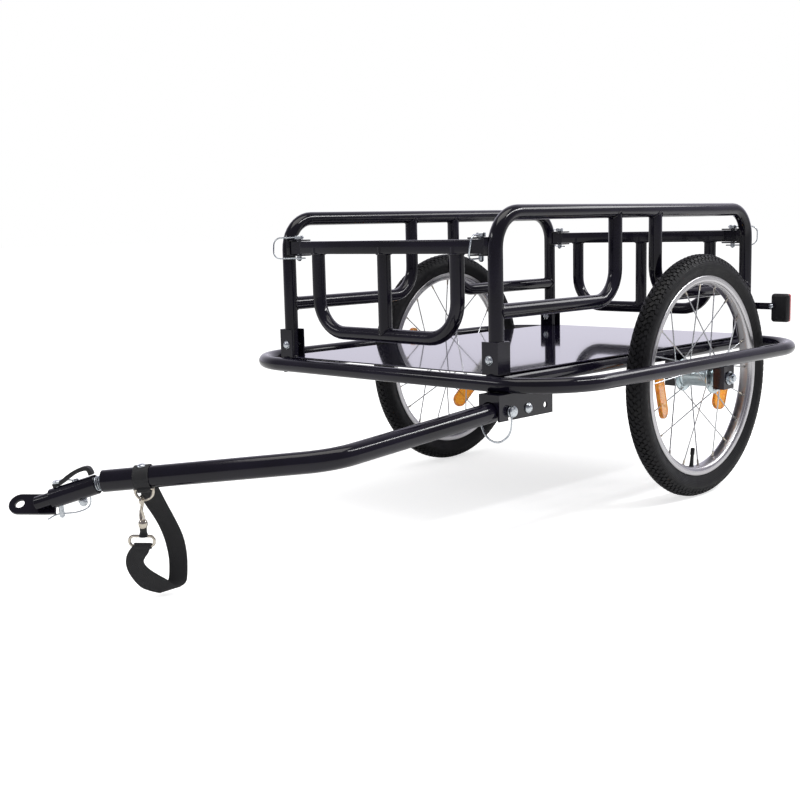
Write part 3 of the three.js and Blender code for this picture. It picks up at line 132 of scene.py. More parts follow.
# Wheels
WHEEL_R = 200
HALF_TRACK = 277.5
TYRE_HALF_W = 17.5
TYRE_BASE_HALF = 11.5
RIM_OUTER_R = 164.5
RIM_INNER_R = 150.5
RIM_HALF_W = 12.5
FLANGE_Y = 28.5
FLANGE_R = 27
FLANGE_T = 3
SHELL_R = 19
HUB_HALF = 35
HUB_END_R = 12
HUB_HOLES = 10
HUB_HOLE_OUT = 17.2
SPOKE_COUNT = 20
SPOKE_HOLE_R = 22
SPOKE_STEP = 1.8
SPOKE_LEAN = math.radians(62)
SPOKE_RIM_R = 149.54
VALVE_TURN = math.radians(172)
VALVE_LENGTH = 31
REFLECTOR_OUT = 98
REFLECTOR_R = 14
REFLECTOR_HALF = 23
REFLECTOR_T = 7
REFLECTOR_TURNS = {"left": (15, 161), "right": (128, -16)}
AXLE_HALF = 66
AXLE_R = 5
SPACER_START = 35.3
WASHER_START = 55.3
WASHER_T = 1.6
THREAD_START = 62.9
THREAD_PITCH = 0.9

# Tow bracket, arm and lock
BRACKET_Y = 242.5
BRACKET_HALF = 18.5
PIVOT = Vector((430.6, BRACKET_Y, 197.5))
ARM_R = 14
ARM_RISE = 3.5
ARM_SLOPE = math.radians(4.13)
ARM_TURN = math.radians(52.5)
ARM_END_SLOPE = math.radians(5.2)
ARM_BEND_REACH = 358.3
ARM_BEND_R = 70
ARM_END_LENGTH = 293
ARM_STUB = 9
LOCK_REACH = 40

# Hitch
HITCH_GAP = 8
COUPLING_SLOPE = math.radians(17.5)
COUPLING_SAG = 3
COUPLING_R = 12.5
COUPLING_LENGTH = 63
SPRING_R = 8.4
SPRING_WIRE_R = 1.1
SPRING_DEPTH = 16
SPRING_CURLS = 12
SPRING_CURL_STEPS = 20
SPRING_BORE_R = 11
HITCH_PIN_PLACE = 53
HITCH_PIN_LEAN = math.radians(12)
TONGUE_TILT = math.radians(46)
TONGUE_EYE_X = 108.5
TONGUE_EYE_R = 6
TONGUE_HALF_W = 14.5
TONGUE_REAR_X = 56
TONGUE_T = 4
TONGUE_STUB_R = 9

# Strap
STRAP_PLACE = 52.7
STRAP_W = 22
# The webbing's two edges from the sleeve, round the drooping bottom and up to the collar
STRAP_NEAR_EDGE = (
    (14.2, 11.9, -83.3), (20.2, 11.3, -90.7), (24.6, 10, -98.6), (26.1, 9, -108.1),
    (24.3, 7.5, -118.5), (18.8, 5.5, -129.6), (10.4, 2.5, -140.5), (0.2, -1.5, -146.3),
    (-6, -5.5, -149.2), (-8.6, -8.3, -150.5), (-8.7, -10.5, -150.8), (-9, -12.6, -149.9),
    (-11.3, -15, -146.2), (-15.9, -18.5, -141.5), (-18.1, -21.5, -135.5), (-18.5, -24.5, -124.8),
    (-18.2, -26, -110.5), (-16.2, -26, -96), (-13, -25, -81.4), (-7.1, -23.5, -65),
    (0, -21, -50.5), (7.3, -17.5, -36), (9.5, -13, -23.4), (9, -8.5, -13.9),
)
STRAP_FAR_EDGE = (
    (-9, 11.9, -83.3), (-4.7, 11.3, -93.3), (0.4, 10, -99.9), (2.6, 9, -105.5),
    (0.4, 7.5, -111.2), (-5.4, 5.5, -117.5), (-13.7, 2.5, -124.2), (-23.4, -1.5, -131.6),
    (-31.4, -5.5, -139), (-35.4, -8.3, -141.6), (-36.5, -10.5, -142.2), (-37.6, -12.6, -142),
    (-40.5, -15, -140.7), (-42.7, -18.5, -136.8), (-43.1, -21.5, -130.4), (-42.9, -24.5, -120.6),
    (-42.6, -26, -108.8), (-41.6, -26, -96), (-39.3, -25, -82.4), (-34.6, -23.5, -67.9),
    (-28.4, -21, -52.5), (-22.2, -17.5, -37), (-17.4, -13, -22.7), (-14.6, -8.5, -12.6),
)
RING_BAR = Vector((-1.5, 9.378, -13.39))
RING_DROP = 13
RING_HALF = 11.5
RING_WIRE_R = 1.75

# Snap hook, with heights from the arm's axis
HOOK_X = 1
BOW_R = 5.2
HOOK_WIRE_R = 2.1
SHANK_END = -53.5
NECK_END = -73.4
GATE_FOOT = -49.45
EYE_X = 3.5
EYE_HALF = 16
EYE_TOP = -72.4
EYE_LOW = -85
EYE_WIRE_R = 1.9

# Rear reflector and its clamp
LAMP_Z = 297.8
LAMP_OUT = 60
LAMP_BACK = -14.1
LAMP_DEPTH = 12
LAMP_HALF_W = 17
LAMP_LOW = -28.5
LAMP_HIGH = 22.5
CLAMP_R = 13.8
CLAMP_HALF_H = 6
CLAMP_BOLT_OUT = 45.5

# Stage: the camera's lens and sensor, its place in the CAD source's frame, and its axes
CAMERA_LENS = 55.03
CAMERA_SENSOR = 36
CAMERA_PLACE = Vector((1774.12106, 1327.74103, 454.65324))
CAMERA_RIGHT = Vector((-0.69823631, 0.71549524, -0.02307858))
CAMERA_UP = Vector((-0.1163774, -0.08164239, 0.98984384))
# The floor, and each lamp's name, place, aim, width, height, watts and colour, in metres
FLOOR_SIZE = 40
LAMPS = (
    ("lamp_overhead", (0.2, 0.2, 2.6), (0, 0, 0.2), 2.2, 1.4, 24, "#fffdf8"),
    ("lamp_camera_left", (2.0, -1.4, 1.7), (0, 0, 0.25), 1.3, 0.35, 8, "#ffffff"),
    ("lamp_side_strip", (-1.15, 1.4, 1.8), (-1.15, 0.12, 0.2), 1.7, 0.11, 17, "#ffffff"),
    ("lamp_back", (-2.2, 1.2, 1.9), (0, 0, 0.3), 1.6, 0.6, 14, "#ffffff"),
)
# How far the floor is lifted towards white where it is seen, and where it is mirrored
FLOOR_SEEN = 0.68
FLOOR_MIRRORED = 0.12
# The pale backdrop stands beyond the trailer's rear right corner, low down; the rest of the room is dim
BACKDROP_WAY = (-0.74, -0.6, -0.3)
ROOM_DIM = 0.3
ROOM_LIGHT = 0.5

# What comes in pairs: each side with its sign in Y, and each end with its posts' X and its sign in X
SIDES = (("left", 1), ("right", -1))
ENDS = (("front", FRONT_POST_X, 1), ("rear", REAR_POST_X, -1))


# ---------------------------------------------------------------- placing

def shift(x=0.0, y=0.0, z=0.0):
    """A move, in millimetres."""
    return Matrix.Translation((x, y, z))


def turn(angle, axis):
    """A turn about one axis."""
    return Matrix.Rotation(angle, 4, axis)


def axle_place():
    """Where the CAD source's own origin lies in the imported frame: over the axle line, on the ground."""
    low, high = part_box("axle_left")
    return shift((low.x + high.x) / 2 / MM, 0, 0)


TRAILER = axle_place()
ARM = TRAILER @ Matrix.Translation(PIVOT)
FIRST_LEG = Vector((math.cos(ARM_SLOPE), 0, -math.sin(ARM_SLOPE)))
SECOND_LEG = Vector((
    math.cos(ARM_END_SLOPE) * math.cos(ARM_TURN),
    -math.cos(ARM_END_SLOPE) * math.sin(ARM_TURN),
    -math.sin(ARM_END_SLOPE),
))
ARM_ROOT = Vector((0, 0, ARM_RISE))
ARM_BEND = ARM_ROOT + FIRST_LEG * ARM_BEND_REACH
ARM_TIP = ARM_BEND + SECOND_LEG * ARM_END_LENGTH
HITCH = ARM @ Matrix.Translation(ARM_TIP) @ turn(-ARM_TURN, "Z")
ALONG_ARM = Vector((math.cos(ARM_END_SLOPE), 0, -math.sin(ARM_END_SLOPE)))
ALONG_COUPLING = Vector((math.cos(COUPLING_SLOPE), 0, -math.sin(COUPLING_SLOPE)))
COUPLING_START = ALONG_ARM * HITCH_GAP - Vector((0, 0, COUPLING_SAG))
COUPLING = HITCH @ Matrix.Translation(COUPLING_START) @ turn(COUPLING_SLOPE, "Y")
HITCH_PIN = COUPLING @ shift(HITCH_PIN_PLACE) @ turn(-HITCH_PIN_LEAN, "Y")
STRAP = ARM @ Matrix.Translation(ARM_TIP - SECOND_LEG * STRAP_PLACE) @ turn(-ARM_TURN, "Z")
LAMP = TRAILER @ shift(REAR_POST_X, PANEL_Y, LAMP_Z)


def wheel_place(side):
    """The middle of the wheel on one side."""
    return TRAILER @ shift(0, side * HALF_TRACK, WHEEL_R)


# ---------------------------------------------------------------- shapes, in millimetres

def line_frame(point, direction, across=None):
    """A frame at a point, with Z along the direction and X as near as it can be to across."""
    z = Vector(direction).normalized()
    if across is None:
        return Matrix.Translation(point) @ z.to_track_quat("Z", "Y").to_matrix().to_4x4()
    x = (across - z * across.dot(z)).normalized()
    y = z.cross(x)
    return Matrix.Translation(point) @ Matrix((x, y, z)).transposed().to_4x4()


def bend_places(corners, bend_r, closed=False, steps=10):
    """Points along a run that is rounded at its corners, with many close together in each bend."""
    points = [Vector(c) for c in corners]
    count = len(points)
    places = [] if closed else [points[0]]
    for i in range(0 if closed else 1, count if closed else count - 1):
        corner = points[i]
        into = (corner - points[i - 1]).normalized()
        out = (points[(i + 1) % count] - corner).normalized()
        angle = into.angle(out)
        side = (out - into * into.dot(out)).normalized()
        start = corner - into * bend_r * math.tan(angle / 2)
        for j in range(steps + 1):
            a = angle * j / steps
            places.append(start + into * bend_r * math.sin(a) + side * bend_r * (1 - math.cos(a)))
    if not closed:
        places.append(points[-1])
    return places


def directions(places, closed):
    """The direction of travel at each place, as the mean of the runs before and after it."""
    found = []
    count = len(places)
    for i, place in enumerate(places):
        before = places[i - 1] if i or closed else place
        after = places[(i + 1) % count] if i < count - 1 or closed else place
        a = (place - before).normalized() if (place - before).length > 1e-6 else Vector()
        b = (after - place).normalized() if (after - place).length > 1e-6 else Vector()
        found.append((a + b).normalized())
    return found


def turns(count):
    """Equal steps round a full turn."""
    return [2 * math.pi * i / count for i in range(count)]


def round_section(radius, sides=32):
    """A circle as points."""
    return [Vector((radius * math.cos(a), radius * math.sin(a), 0)) for a in turns(sides)]


def flat_section(width, thickness):
    """A flat strip with rounded edges as points, with X across it; it starts on a narrow edge."""
    w, t = width / 2, thickness / 2
    across = [-w, -w * 0.97, -w * 0.6, -w * 0.2, w * 0.2, w * 0.6, w * 0.97, w]
    top = [Vector((x, t if abs(x) < w * 0.98 else t * 0.25, 0)) for x in across]
    bottom = [Vector((x, -t if abs(x) < w * 0.98 else -t * 0.25, 0)) for x in reversed(across)]
    return top + bottom


def smooth_route(points, steps):
    """Points along a Catmull-Rom curve through the given ones."""
    knots = [Vector(p) for p in points]
    knots = [knots[0] * 2 - knots[1], *knots, knots[-1] * 2 - knots[-2]]
    found = []
    for i in range(1, len(knots) - 2):
        p0, p1, p2, p3 = knots[i - 1:i + 3]
        for j in range(steps):
            t = j / steps
            found.append((p1 * 2 + (p2 - p0) * t + (p0 * 2 - p1 * 5 + p2 * 4 - p3) * t * t
                          + (p1 * 3 - p0 - p2 * 3 + p3) * t ** 3) / 2)
    found.append(knots[-2])
    return found


def new_verts(made):
    """The vertices that an extrude has made."""
    return [g for g in made["geom"] if isinstance(g, bmesh.types.BMVert)]


def new_ring(made):
    """The edges that an extrude has made between its new vertices."""
    fresh = set(new_verts(made))
    return [g for g in made["geom"] if isinstance(g, bmesh.types.BMEdge) and fresh.issuperset(g.verts)]


def close_ends(bm, first_edges, last_edges):
    """Fills the two open ends of a run."""
    for edges in (first_edges, last_edges):
        bmesh.ops.holes_fill(bm, edges=edges, sides=0)


def write_uv(bm):
    """Turns the vertex layers of places along and across a run into a UV map in metres."""
    layers = bm.verts.layers.float
    uv = bm.loops.layers.uv.new("UVMap")
    along, across = layers["along"], layers["across"]
    for face in bm.faces:
        for loop in face.loops:
            loop[uv].uv = (loop.vert[along] * MM, loop.vert[across] * MM)
    for name in ("along", "across"):
        layers.remove(layers[name])


def drawn(places, section, closed=False, across=None, scales=None):
    """A section drawn out along places: its ring of edges is extruded and carried from each to the next."""
    bm = bmesh.new()
    along_layer = bm.verts.layers.float.new("along")
    across_layer = bm.verts.layers.float.new("across")
    headings = directions(places, closed)
    scales = scales or [1] * len(places)
    ring = [bm.verts.new(p) for p in section]
    walk = 0
    for i, v in enumerate(ring):
        v[across_layer] = walk
        walk += (section[(i + 1) % len(section)] - section[i]).length
    edges = first_edges = [bm.edges.new((ring[i - 1], ring[i])) for i in range(len(ring))]
    here = line_frame(places[0], headings[0], across)
    bmesh.ops.transform(bm, matrix=here @ Matrix.Scale(scales[0], 4), verts=ring)
    travelled = 0
    for i in range(1, len(places)):
        if across is None:
            swing = headings[i - 1].rotation_difference(headings[i]).to_matrix().to_4x4()
            there = Matrix.Translation(places[i]) @ swing @ here.to_3x3().to_4x4()
        else:
            there = line_frame(places[i], headings[i], across)
        travelled += (places[i] - places[i - 1]).length
        made = bmesh.ops.extrude_edge_only(bm, edges=edges)
        moved, edges = new_verts(made), new_ring(made)
        carry = there @ Matrix.Scale(scales[i] / scales[i - 1], 4) @ here.inverted()
        bmesh.ops.transform(bm, matrix=carry, verts=moved)
        for v in moved:
            v[along_layer] = travelled
        here = there
    if closed:
        bmesh.ops.bridge_loops(bm, edges=first_edges + edges)
    else:
        close_ends(bm, first_edges, edges)
    write_uv(bm)
    return bm


def ribbon(near, far, thickness):
    """A strip of webbing between two edge lines, with rounded edges."""
    bm = bmesh.new()
    along_layer = bm.verts.layers.float.new("along")
    across_layer = bm.verts.layers.float.new("across")
    # The strip's outline: each point's share of the width, and its share of half the thickness
    top = [(0, 0.2), (0.04, 1), (0.35, 1), (0.65, 1), (0.96, 1), (1, 0.2)]
    outline = top + [(share, -lift) for share, lift in reversed(top)]
    middle = [(a + b) / 2 for a, b in zip(near, far)]
    headings = directions(middle, False)
    ring = [bm.verts.new() for _ in outline]
    edges = first_edges = [bm.edges.new((ring[i - 1], ring[i])) for i in range(len(ring))]
    walked = 0
    for i, (a, b) in enumerate(zip(near, far)):
        lift_way = (b - a).cross(headings[i]).normalized() * (thickness / 2)
        if i:
            walked += (middle[i] - middle[i - 1]).length
            made = bmesh.ops.extrude_edge_only(bm, edges=edges)
            fresh, edges = set(new_verts(made)), new_ring(made)
            ring = [next(e.other_vert(v) for e in v.link_edges if e.other_vert(v) in fresh) for v in ring]
        for v, (share, lift) in zip(ring, outline):
            v.co = a.lerp(b, share) + lift_way * lift
            v[along_layer] = walked
            v[across_layer] = share * STRAP_W
    close_ends(bm, first_edges, edges)
    bmesh.ops.recalc_face_normals(bm, faces=bm.faces[:])
    write_uv(bm)
    return bm


def rod(start, end, radius, sides=20, end_radius=None):
    """A plain round rod between two points."""
    a, b = Vector(start), Vector(end)
    bm = bmesh.new()
    end_radius = radius if end_radius is None else end_radius
    place = line_frame((a + b) / 2, b - a)
    bmesh.ops.create_cone(bm, cap_ends=True, segments=sides, radius1=radius, radius2=end_radius,
                          depth=(b - a).length, matrix=place)
    return bm


def turned(profile, steps=32, axis="Z", closed=False):
    """A turned piece: a profile of (radius, height) pairs is spun once round its axis."""
    bm = bmesh.new()
    verts = [bm.verts.new((r, 0, h) if axis == "Z" else (r, h, 0)) for r, h in profile]
    pairs = list(zip(verts, verts[1:] + verts[:1])) if closed else list(zip(verts, verts[1:]))
    edges = [bm.edges.new(p) for p in pairs]
    bmesh.ops.spin(bm, geom=verts + edges, cent=(0, 0, 0), axis=(0, 0, 1) if axis == "Z" else (0, 1, 0),
                   dvec=(0, 0, 0), angle=2 * math.pi, steps=steps, use_merge=True, use_duplicate=False)
    bmesh.ops.remove_doubles(bm, verts=bm.verts[:], dist=1e-4)
    return bm


def round_edges(bm, edges, width, segments):
    """Rounds edges with a bevel."""
    bmesh.ops.bevel(bm, geom=edges, offset=width, affect="EDGES", segments=segments,
                    profile=0.5, material=-1, clamp_overlap=True)


def block(low, high, round_r=0.0, segments=3):
    """A box between two corners, with its edges rounded."""
    a, b = Vector(low), Vector(high)
    bm = bmesh.new()
    size = Matrix.Diagonal((*(b - a), 1))
    bmesh.ops.create_cube(bm, size=1, matrix=Matrix.Translation((a + b) / 2) @ size)
    if round_r:
        round_edges(bm, bm.edges[:], round_r, segments)
    return bm


def sheet_cut(points, thickness, round_r=0.0):
    """A sheet cut to an outline in the XY plane and drawn up to its thickness."""
    bm = bmesh.new()
    face = bm.faces.new([bm.verts.new((x, y, 0)) for x, y in points])
    made = bmesh.ops.extrude_face_region(bm, geom=[face])
    bmesh.ops.translate(bm, vec=(0, 0, thickness), verts=new_verts(made))
    bmesh.ops.recalc_face_normals(bm, faces=bm.faces[:])
    if round_r:
        rims = [e for e in bm.edges if abs(e.calc_face_angle(0)) > math.radians(60)
                and abs(e.verts[0].co.z - e.verts[1].co.z) < 1e-6]
        round_edges(bm, rims, round_r, 2)
    return bm


def to_box(way, low, high):
    """How far it is from the origin along a flat direction to the sides of a box round it."""
    return min((high[i] if way[i] > 0 else low[i]) / way[i] for i in (0, 1) if abs(way[i]) > 1e-6)


def bored_plate(bore_r, sides, reach, thickness):
    """A bored plate: its bore is at the origin, and its edge lies at the reach of each direction."""
    bm = bmesh.new()
    bore = round_section(bore_r, sides)
    rim = [p.normalized() * reach(p.normalized()) for p in bore]
    rings = [[bm.verts.new(p) for p in line] for line in (bore, rim)]
    edges = [bm.edges.new((ring[i - 1], ring[i])) for ring in rings for i in range(sides)]
    faces = bmesh.ops.bridge_loops(bm, edges=edges)["faces"]
    made = bmesh.ops.extrude_face_region(bm, geom=faces)
    bmesh.ops.translate(bm, vec=(0, 0, thickness), verts=new_verts(made))
    return bm


def cad_copy(node):
    """A copy of a CAD node's shape in millimetres, with its loose triangles merged and its flats whole."""
    bm = bmesh.new()
    bm.from_mesh(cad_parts[node].data)
    bmesh.ops.scale(bm, vec=(1 / MM,) * 3, verts=bm.verts[:])
    bmesh.ops.remove_doubles(bm, verts=bm.verts[:], dist=0.005)
    bmesh.ops.dissolve_limit(bm, angle_limit=math.radians(1), verts=bm.verts[:], edges=bm.edges[:],
                             use_dissolve_boundaries=False, delimit=set())
    return bm


def dome(radius, height, steps=28):
    """A round domed head that stands on Z 0."""
    return turned([(0, height), (radius * 0.42, height * 0.96), (radius * 0.75, height * 0.72),
                   (radius * 0.95, height * 0.34), (radius, 0.15 * height), (radius, 0), (0, 0)], steps)


def hex_nut(radius, height):
    """A six-sided nut that stands on Z 0, three quarters as tall as given, with its corners rounded."""
    bm = bmesh.new()
    bmesh.ops.create_cone(bm, cap_ends=True, segments=6, radius1=radius, radius2=radius,
                          depth=height * 0.75, matrix=shift(0, 0, height * 0.375))
    round_edges(bm, bm.edges[:], radius * 0.08, 2)
    return bm


def saddle(main_r, branch_r, steps=28):
    """The line where a branch tube meets a main tube, with the branch along Z and the main tube along X."""
    return [Vector((branch_r * math.cos(a), branch_r * math.sin(a),
                    math.sqrt(max(main_r ** 2 - (branch_r * math.sin(a)) ** 2, 0)))) for a in turns(steps)]


class Piece:
    """One piece in the making. Shapes are gathered one by one, each with the finish that it shows."""

    def __init__(self, name, *finishes):
        self.name = name
        self.finishes = finishes
        self.bm = bmesh.new()

    def gather(self, shape, place=None, finish=0):
        """Adds a shape to the piece, and frees it."""
        bmesh.ops.recalc_face_normals(shape, faces=shape.faces[:])
        for face in shape.faces:
            face.material_index = finish
        carrier = bpy.data.meshes.new("carrier")
        if place is not None:
            shape.transform(place)
        shape.to_mesh(carrier)
        shape.free()
        self.bm.from_mesh(carrier)
        bpy.data.meshes.remove(carrier)

    def done(self, place, body, nodes, round_mm=0.0, sharp_deg=34):
        """Puts the piece in its place and makes it an object that rides on its body."""
        self.bm.transform(Matrix.Scale(MM, 4) @ place)
        mesh = bpy.data.meshes.new(self.name)
        self.bm.to_mesh(mesh)
        self.bm.free()
        mesh.shade_smooth()
        mesh.set_sharp_from_angle(angle=math.radians(sharp_deg))
        for finish in self.finishes:
            mesh.materials.append(material(finish))
        obj = bpy.data.objects.new(self.name, mesh)
        bpy.context.scene.collection.objects.link(obj)
        if round_mm:
            edge = obj.modifiers.new("rounded edges", "BEVEL")
            edge.width = round_mm * MM
            edge.segments = 2
            edge.limit_method = "ANGLE"
            edge.angle_limit = math.radians(40)
            edge.harden_normals = True
        if body:
            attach(obj, body)
        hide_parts(*nodes)
        return obj


# ---------------------------------------------------------------- finishes

def linear(colour):
    """An sRGB hex colour as linear red, green, blue and alpha."""
    parts = [int(colour[i:i + 2], 16) / 255 for i in (1, 3, 5)]
    return tuple(c / 12.92 if c <= 0.04045 else ((c + 0.055) / 1.055) ** 2.4 for c in parts) + (1.0,)


def add(tree, kind, inputs=None, stops=None, **settings):
    """Adds one node with its settings, its input values or links, and its colour stops."""
    made = tree.nodes.new(kind)
    for key, value in settings.items():
        setattr(made, key, value)
    for name, value in (inputs or {}).items():
        if isinstance(value, bpy.types.NodeSocket):
            tree.links.new(value, made.inputs[name])
        else:
            made.inputs[name].default_value = value
    for i, (place, colour) in enumerate(stops or []):
        stop = made.color_ramp.elements[i] if i < 2 else made.color_ramp.elements.new(place)
        stop.position = place
        stop.color = colour
    return made


def blank(name):
    """A new material with only an output, and its tree."""
    made = bpy.data.materials.new(name)
    made.use_nodes = True
    made.node_tree.nodes.clear()
    return made, made.node_tree


def per_mm(size_mm):
    """The texture scale that makes a pattern repeat at a size in millimetres."""
    return 1 / (size_mm * MM)


def close(tree, shader):
    """Joins a shader to the material's output."""
    add(tree, "ShaderNodeOutputMaterial", {"Surface": shader})


def skin(made, tree, pattern, stops, relief, values):
    """Finishes a material: a pattern tints it, a relief lifts its skin, and its shader gets the values."""
    tint = add(tree, "ShaderNodeValToRGB", {"Fac": pattern}, stops)
    height, strength, distance = relief
    bump = add(tree, "ShaderNodeBump", {"Height": height, "Strength": strength, "Distance": distance})
    shader = add(tree, "ShaderNodeBsdfPrincipled", {
        "Base Color": tint.outputs["Color"], **values, "Normal": bump.outputs["Normal"]})
    close(tree, shader.outputs["BSDF"])
    return made


def frame_paint():
    """Gloss black polyester powder coat, baked on tube: a faint orange peel and a violet-grey sheen."""
    made, tree = blank("gloss black powder coat")
    chosen = bpy.context.scene.trailer_finishes
    roughness = 0.13
    where = add(tree, "ShaderNodeTexCoord").outputs["Object"]
    cloud = add(tree, "ShaderNodeTexNoise", {"Vector": where, "Scale": per_mm(90), "Detail": 3.0})
    gloss = add(tree, "ShaderNodeMapRange", {
        "Value": cloud.outputs["Fac"], "From Min": 0.3, "From Max": 0.7,
        "To Min": roughness * 0.8, "To Max": roughness * 1.25})
    peel = add(tree, "ShaderNodeTexNoise", {"Vector": where, "Scale": per_mm(4), "Detail": 1.0})
    return skin(made, tree, cloud.outputs["Fac"],
                [(0.35, (*chosen.paint_dark, 1)), (0.7, (*chosen.paint_light, 1))],
                (peel.outputs["Fac"], 0.12, 0.0004),
                {"Roughness": gloss.outputs["Result"], "IOR": 1.38, "Coat Weight": 0.2,
                 "Coat Roughness": 0.04})


def deck_paint():
    """The same coat on flat sheet: smoother, so the deck mirrors the gates and the pale room."""
    made, tree = blank("gloss black powder coat on sheet")
    where = add(tree, "ShaderNodeTexCoord").outputs["Object"]
    cloud = add(tree, "ShaderNodeTexNoise", {"Vector": where, "Scale": per_mm(160), "Detail": 2.0})
    # Oil-canning of thin sheet: long low waves that bend the reflections a little
    wave = add(tree, "ShaderNodeTexNoise", {"Vector": where, "Scale": per_mm(240), "Detail": 0.0})
    return skin(made, tree, cloud.outputs["Fac"], [(0.35, linear("#1d1a2b")), (0.7, linear("#262238"))],
                (wave.outputs["Fac"], 0.2, 0.002),
                {"Roughness": 0.08, "IOR": 1.55, "Specular Tint": linear("#ece6ff"), "Coat Weight": 0.75,
                 "Coat Roughness": 0.03})


def metal_skin(made, tree, pattern, tones, gloss, relief):
    """Finishes a metal: one pattern gives its tone between two stops, its gloss, and a low relief."""
    rough = add(tree, "ShaderNodeMapRange", {
        "Value": pattern, "From Min": gloss[0], "From Max": gloss[1], "To Min": gloss[2], "To Max": gloss[3]})
    return skin(made, tree, pattern, [(place, linear(tone)) for place, tone in tones], (pattern, *relief),
                {"Metallic": 1.0, "Roughness": rough.outputs["Result"]})


def plated(name, dark, light, rough_low, rough_high, grain_mm):
    """Plated or drawn steel: bright metal with a fine cloudy variation in colour and gloss."""
    made, tree = blank(name)
    where = add(tree, "ShaderNodeTexCoord").outputs["Object"]
    cloud = add(tree, "ShaderNodeTexNoise", {"Vector": where, "Scale": per_mm(grain_mm), "Detail": 4.0})
    return metal_skin(made, tree, cloud.outputs["Fac"], [(0.3, dark), (0.7, light)],
                      (0.3, 0.7, rough_low, rough_high), (0.08, 0.0003))


def galvanised():
    """Zinc-dipped hub steel: pale blue-green metal with faint crystal patches about 5 mm across."""
    made, tree = blank("galvanised hub steel")
    where = add(tree, "ShaderNodeTexCoord").outputs["Object"]
    crystal = add(tree, "ShaderNodeTexVoronoi", {"Vector": where, "Scale": per_mm(5)}, feature="SMOOTH_F1")
    return metal_skin(made, tree, crystal.outputs["Distance"], [(0.0, "#d3dee0"), (0.9, "#bccbd0")],
                      (0.0, 0.8, 0.26, 0.34), (0.02, 0.0002))


def radius_from_axle(tree, side):
    """The distance from a wheel's axle line, from Object coordinates."""
    where = add(tree, "ShaderNodeTexCoord").outputs["Object"]
    centre = TRAILER @ Vector((0, side * HALF_TRACK, WHEEL_R)) * MM
    about = add(tree, "ShaderNodeVectorMath", {0: where, 1: tuple(-c for c in centre)}, operation="ADD")
    flat = add(tree, "ShaderNodeVectorMath", {0: about.outputs[0], 1: (1, 0, 1)}, operation="MULTIPLY")
    return add(tree, "ShaderNodeVectorMath", {0: flat.outputs[0]}, operation="LENGTH").outputs["Value"]


def rim_alloy(side):
    """Rolled and machined aluminium rim: fine turning marks run round it, so its gloss is soft along them."""
    made, tree = blank("machined aluminium rim")
    radius = radius_from_axle(tree, side)
    # Real turning marks are about 0.3 mm apart; 1.2 mm is as fine as the picture shows
    marks = add(tree, "ShaderNodeTexNoise", {"W": radius, "Scale": per_mm(1.2), "Detail": 2.0},
                noise_dimensions="1D")
    return metal_skin(made, tree, marks.outputs["Fac"], [(0.3, "#aeacaf"), (0.7, "#d9d8da")],
                      (0.3, 0.7, 0.2, 0.38), (0.15, 0.0002))


def tread_rubber(side):
    """Vulcanised black tyre rubber: matt, a little grey in random patches, with rings round its walls."""
    made, tree = blank("vulcanised tyre rubber")
    where = add(tree, "ShaderNodeTexCoord").outputs["Object"]
    radius = radius_from_axle(tree, side)
    dust = add(tree, "ShaderNodeTexNoise", {"Vector": where, "Scale": per_mm(14), "Detail": 5.0})
    chosen = bpy.context.scene.trailer_finishes
    tint = add(tree, "ShaderNodeValToRGB", {"Fac": dust.outputs["Fac"]},
               [(0.35, (*chosen.rubber_dark, 1)), (0.75, (*chosen.rubber_light, 1))])
    # Moulded rings 2.5 mm apart on the sidewall
    rings = add(tree, "ShaderNodeMath", {0: radius, 1: 2 * math.pi * per_mm(2.5)}, operation="MULTIPLY")
    ridge = add(tree, "ShaderNodeMath", {0: rings.outputs[0]}, operation="SINE")
    pores = add(tree, "ShaderNodeTexNoise", {"Vector": where, "Scale": per_mm(1.6), "Detail": 2.0})
    skin = add(tree, "ShaderNodeBump", {"Height": pores.outputs["Fac"], "Strength": 0.35, "Distance": 0.0004})
    bump = add(tree, "ShaderNodeBump", {"Height": ridge.outputs[0], "Strength": 0.4, "Distance": 0.0004,
                                        "Normal": skin.outputs["Normal"]})
    gloss = add(tree, "ShaderNodeMapRange", {
        "Value": dust.outputs["Fac"], "From Min": 0.3, "From Max": 0.7, "To Min": 0.42, "To Max": 0.6})
    rubber = add(tree, "ShaderNodeBsdfPrincipled", {
        "Base Color": tint.outputs["Color"], "Roughness": gloss.outputs["Result"], "IOR": 1.33,
        "Normal": bump.outputs["Normal"]})
    close(tree, rubber.outputs["BSDF"])
    return made


def prism_plastic(name, deep, bright, cell_mm, see_through):
    """Moulded acrylic reflector: cells of little prisms behind a smooth face, so it glitters cell by cell:
    each cell has a real relief, and its colour is painted lighter towards its middle as a painted glint.
    """
    made, tree = blank(name)
    where = add(tree, "ShaderNodeTexCoord").outputs["Object"]
    cells = add(tree, "ShaderNodeTexVoronoi", {"Vector": where, "Scale": per_mm(cell_mm)}).outputs["Distance"]
    # The lighter tone at each cell's middle is a painted glint, not a colour of the acrylic; the cells'
    # relief is a real bump
    return skin(made, tree, cells, [(0.1, linear(bright)), (0.75, linear(deep))], (cells, 0.5, 0.0008),
                {"Roughness": 0.22, "IOR": 1.49, "Coat Weight": 1.0, "Coat Roughness": 0.05,
                 "Transmission Weight": see_through})


def black_plastic():
    """Injection-moulded black polypropylene: satin, with a fine spark-eroded grain."""
    made, tree = blank("moulded black polypropylene")
    where = add(tree, "ShaderNodeTexCoord").outputs["Object"]
    # The real grain is about 0.2 mm; 0.8 mm is as fine as the picture shows
    grain = add(tree, "ShaderNodeTexNoise", {"Vector": where, "Scale": per_mm(0.8), "Detail": 2.0})
    return skin(made, tree, grain.outputs["Fac"], [(0.3, linear("#0f0f11")), (0.75, linear("#1d1d20"))],
                (grain.outputs["Fac"], 0.2, 0.0003), {"Roughness": 0.42, "IOR": 1.49})


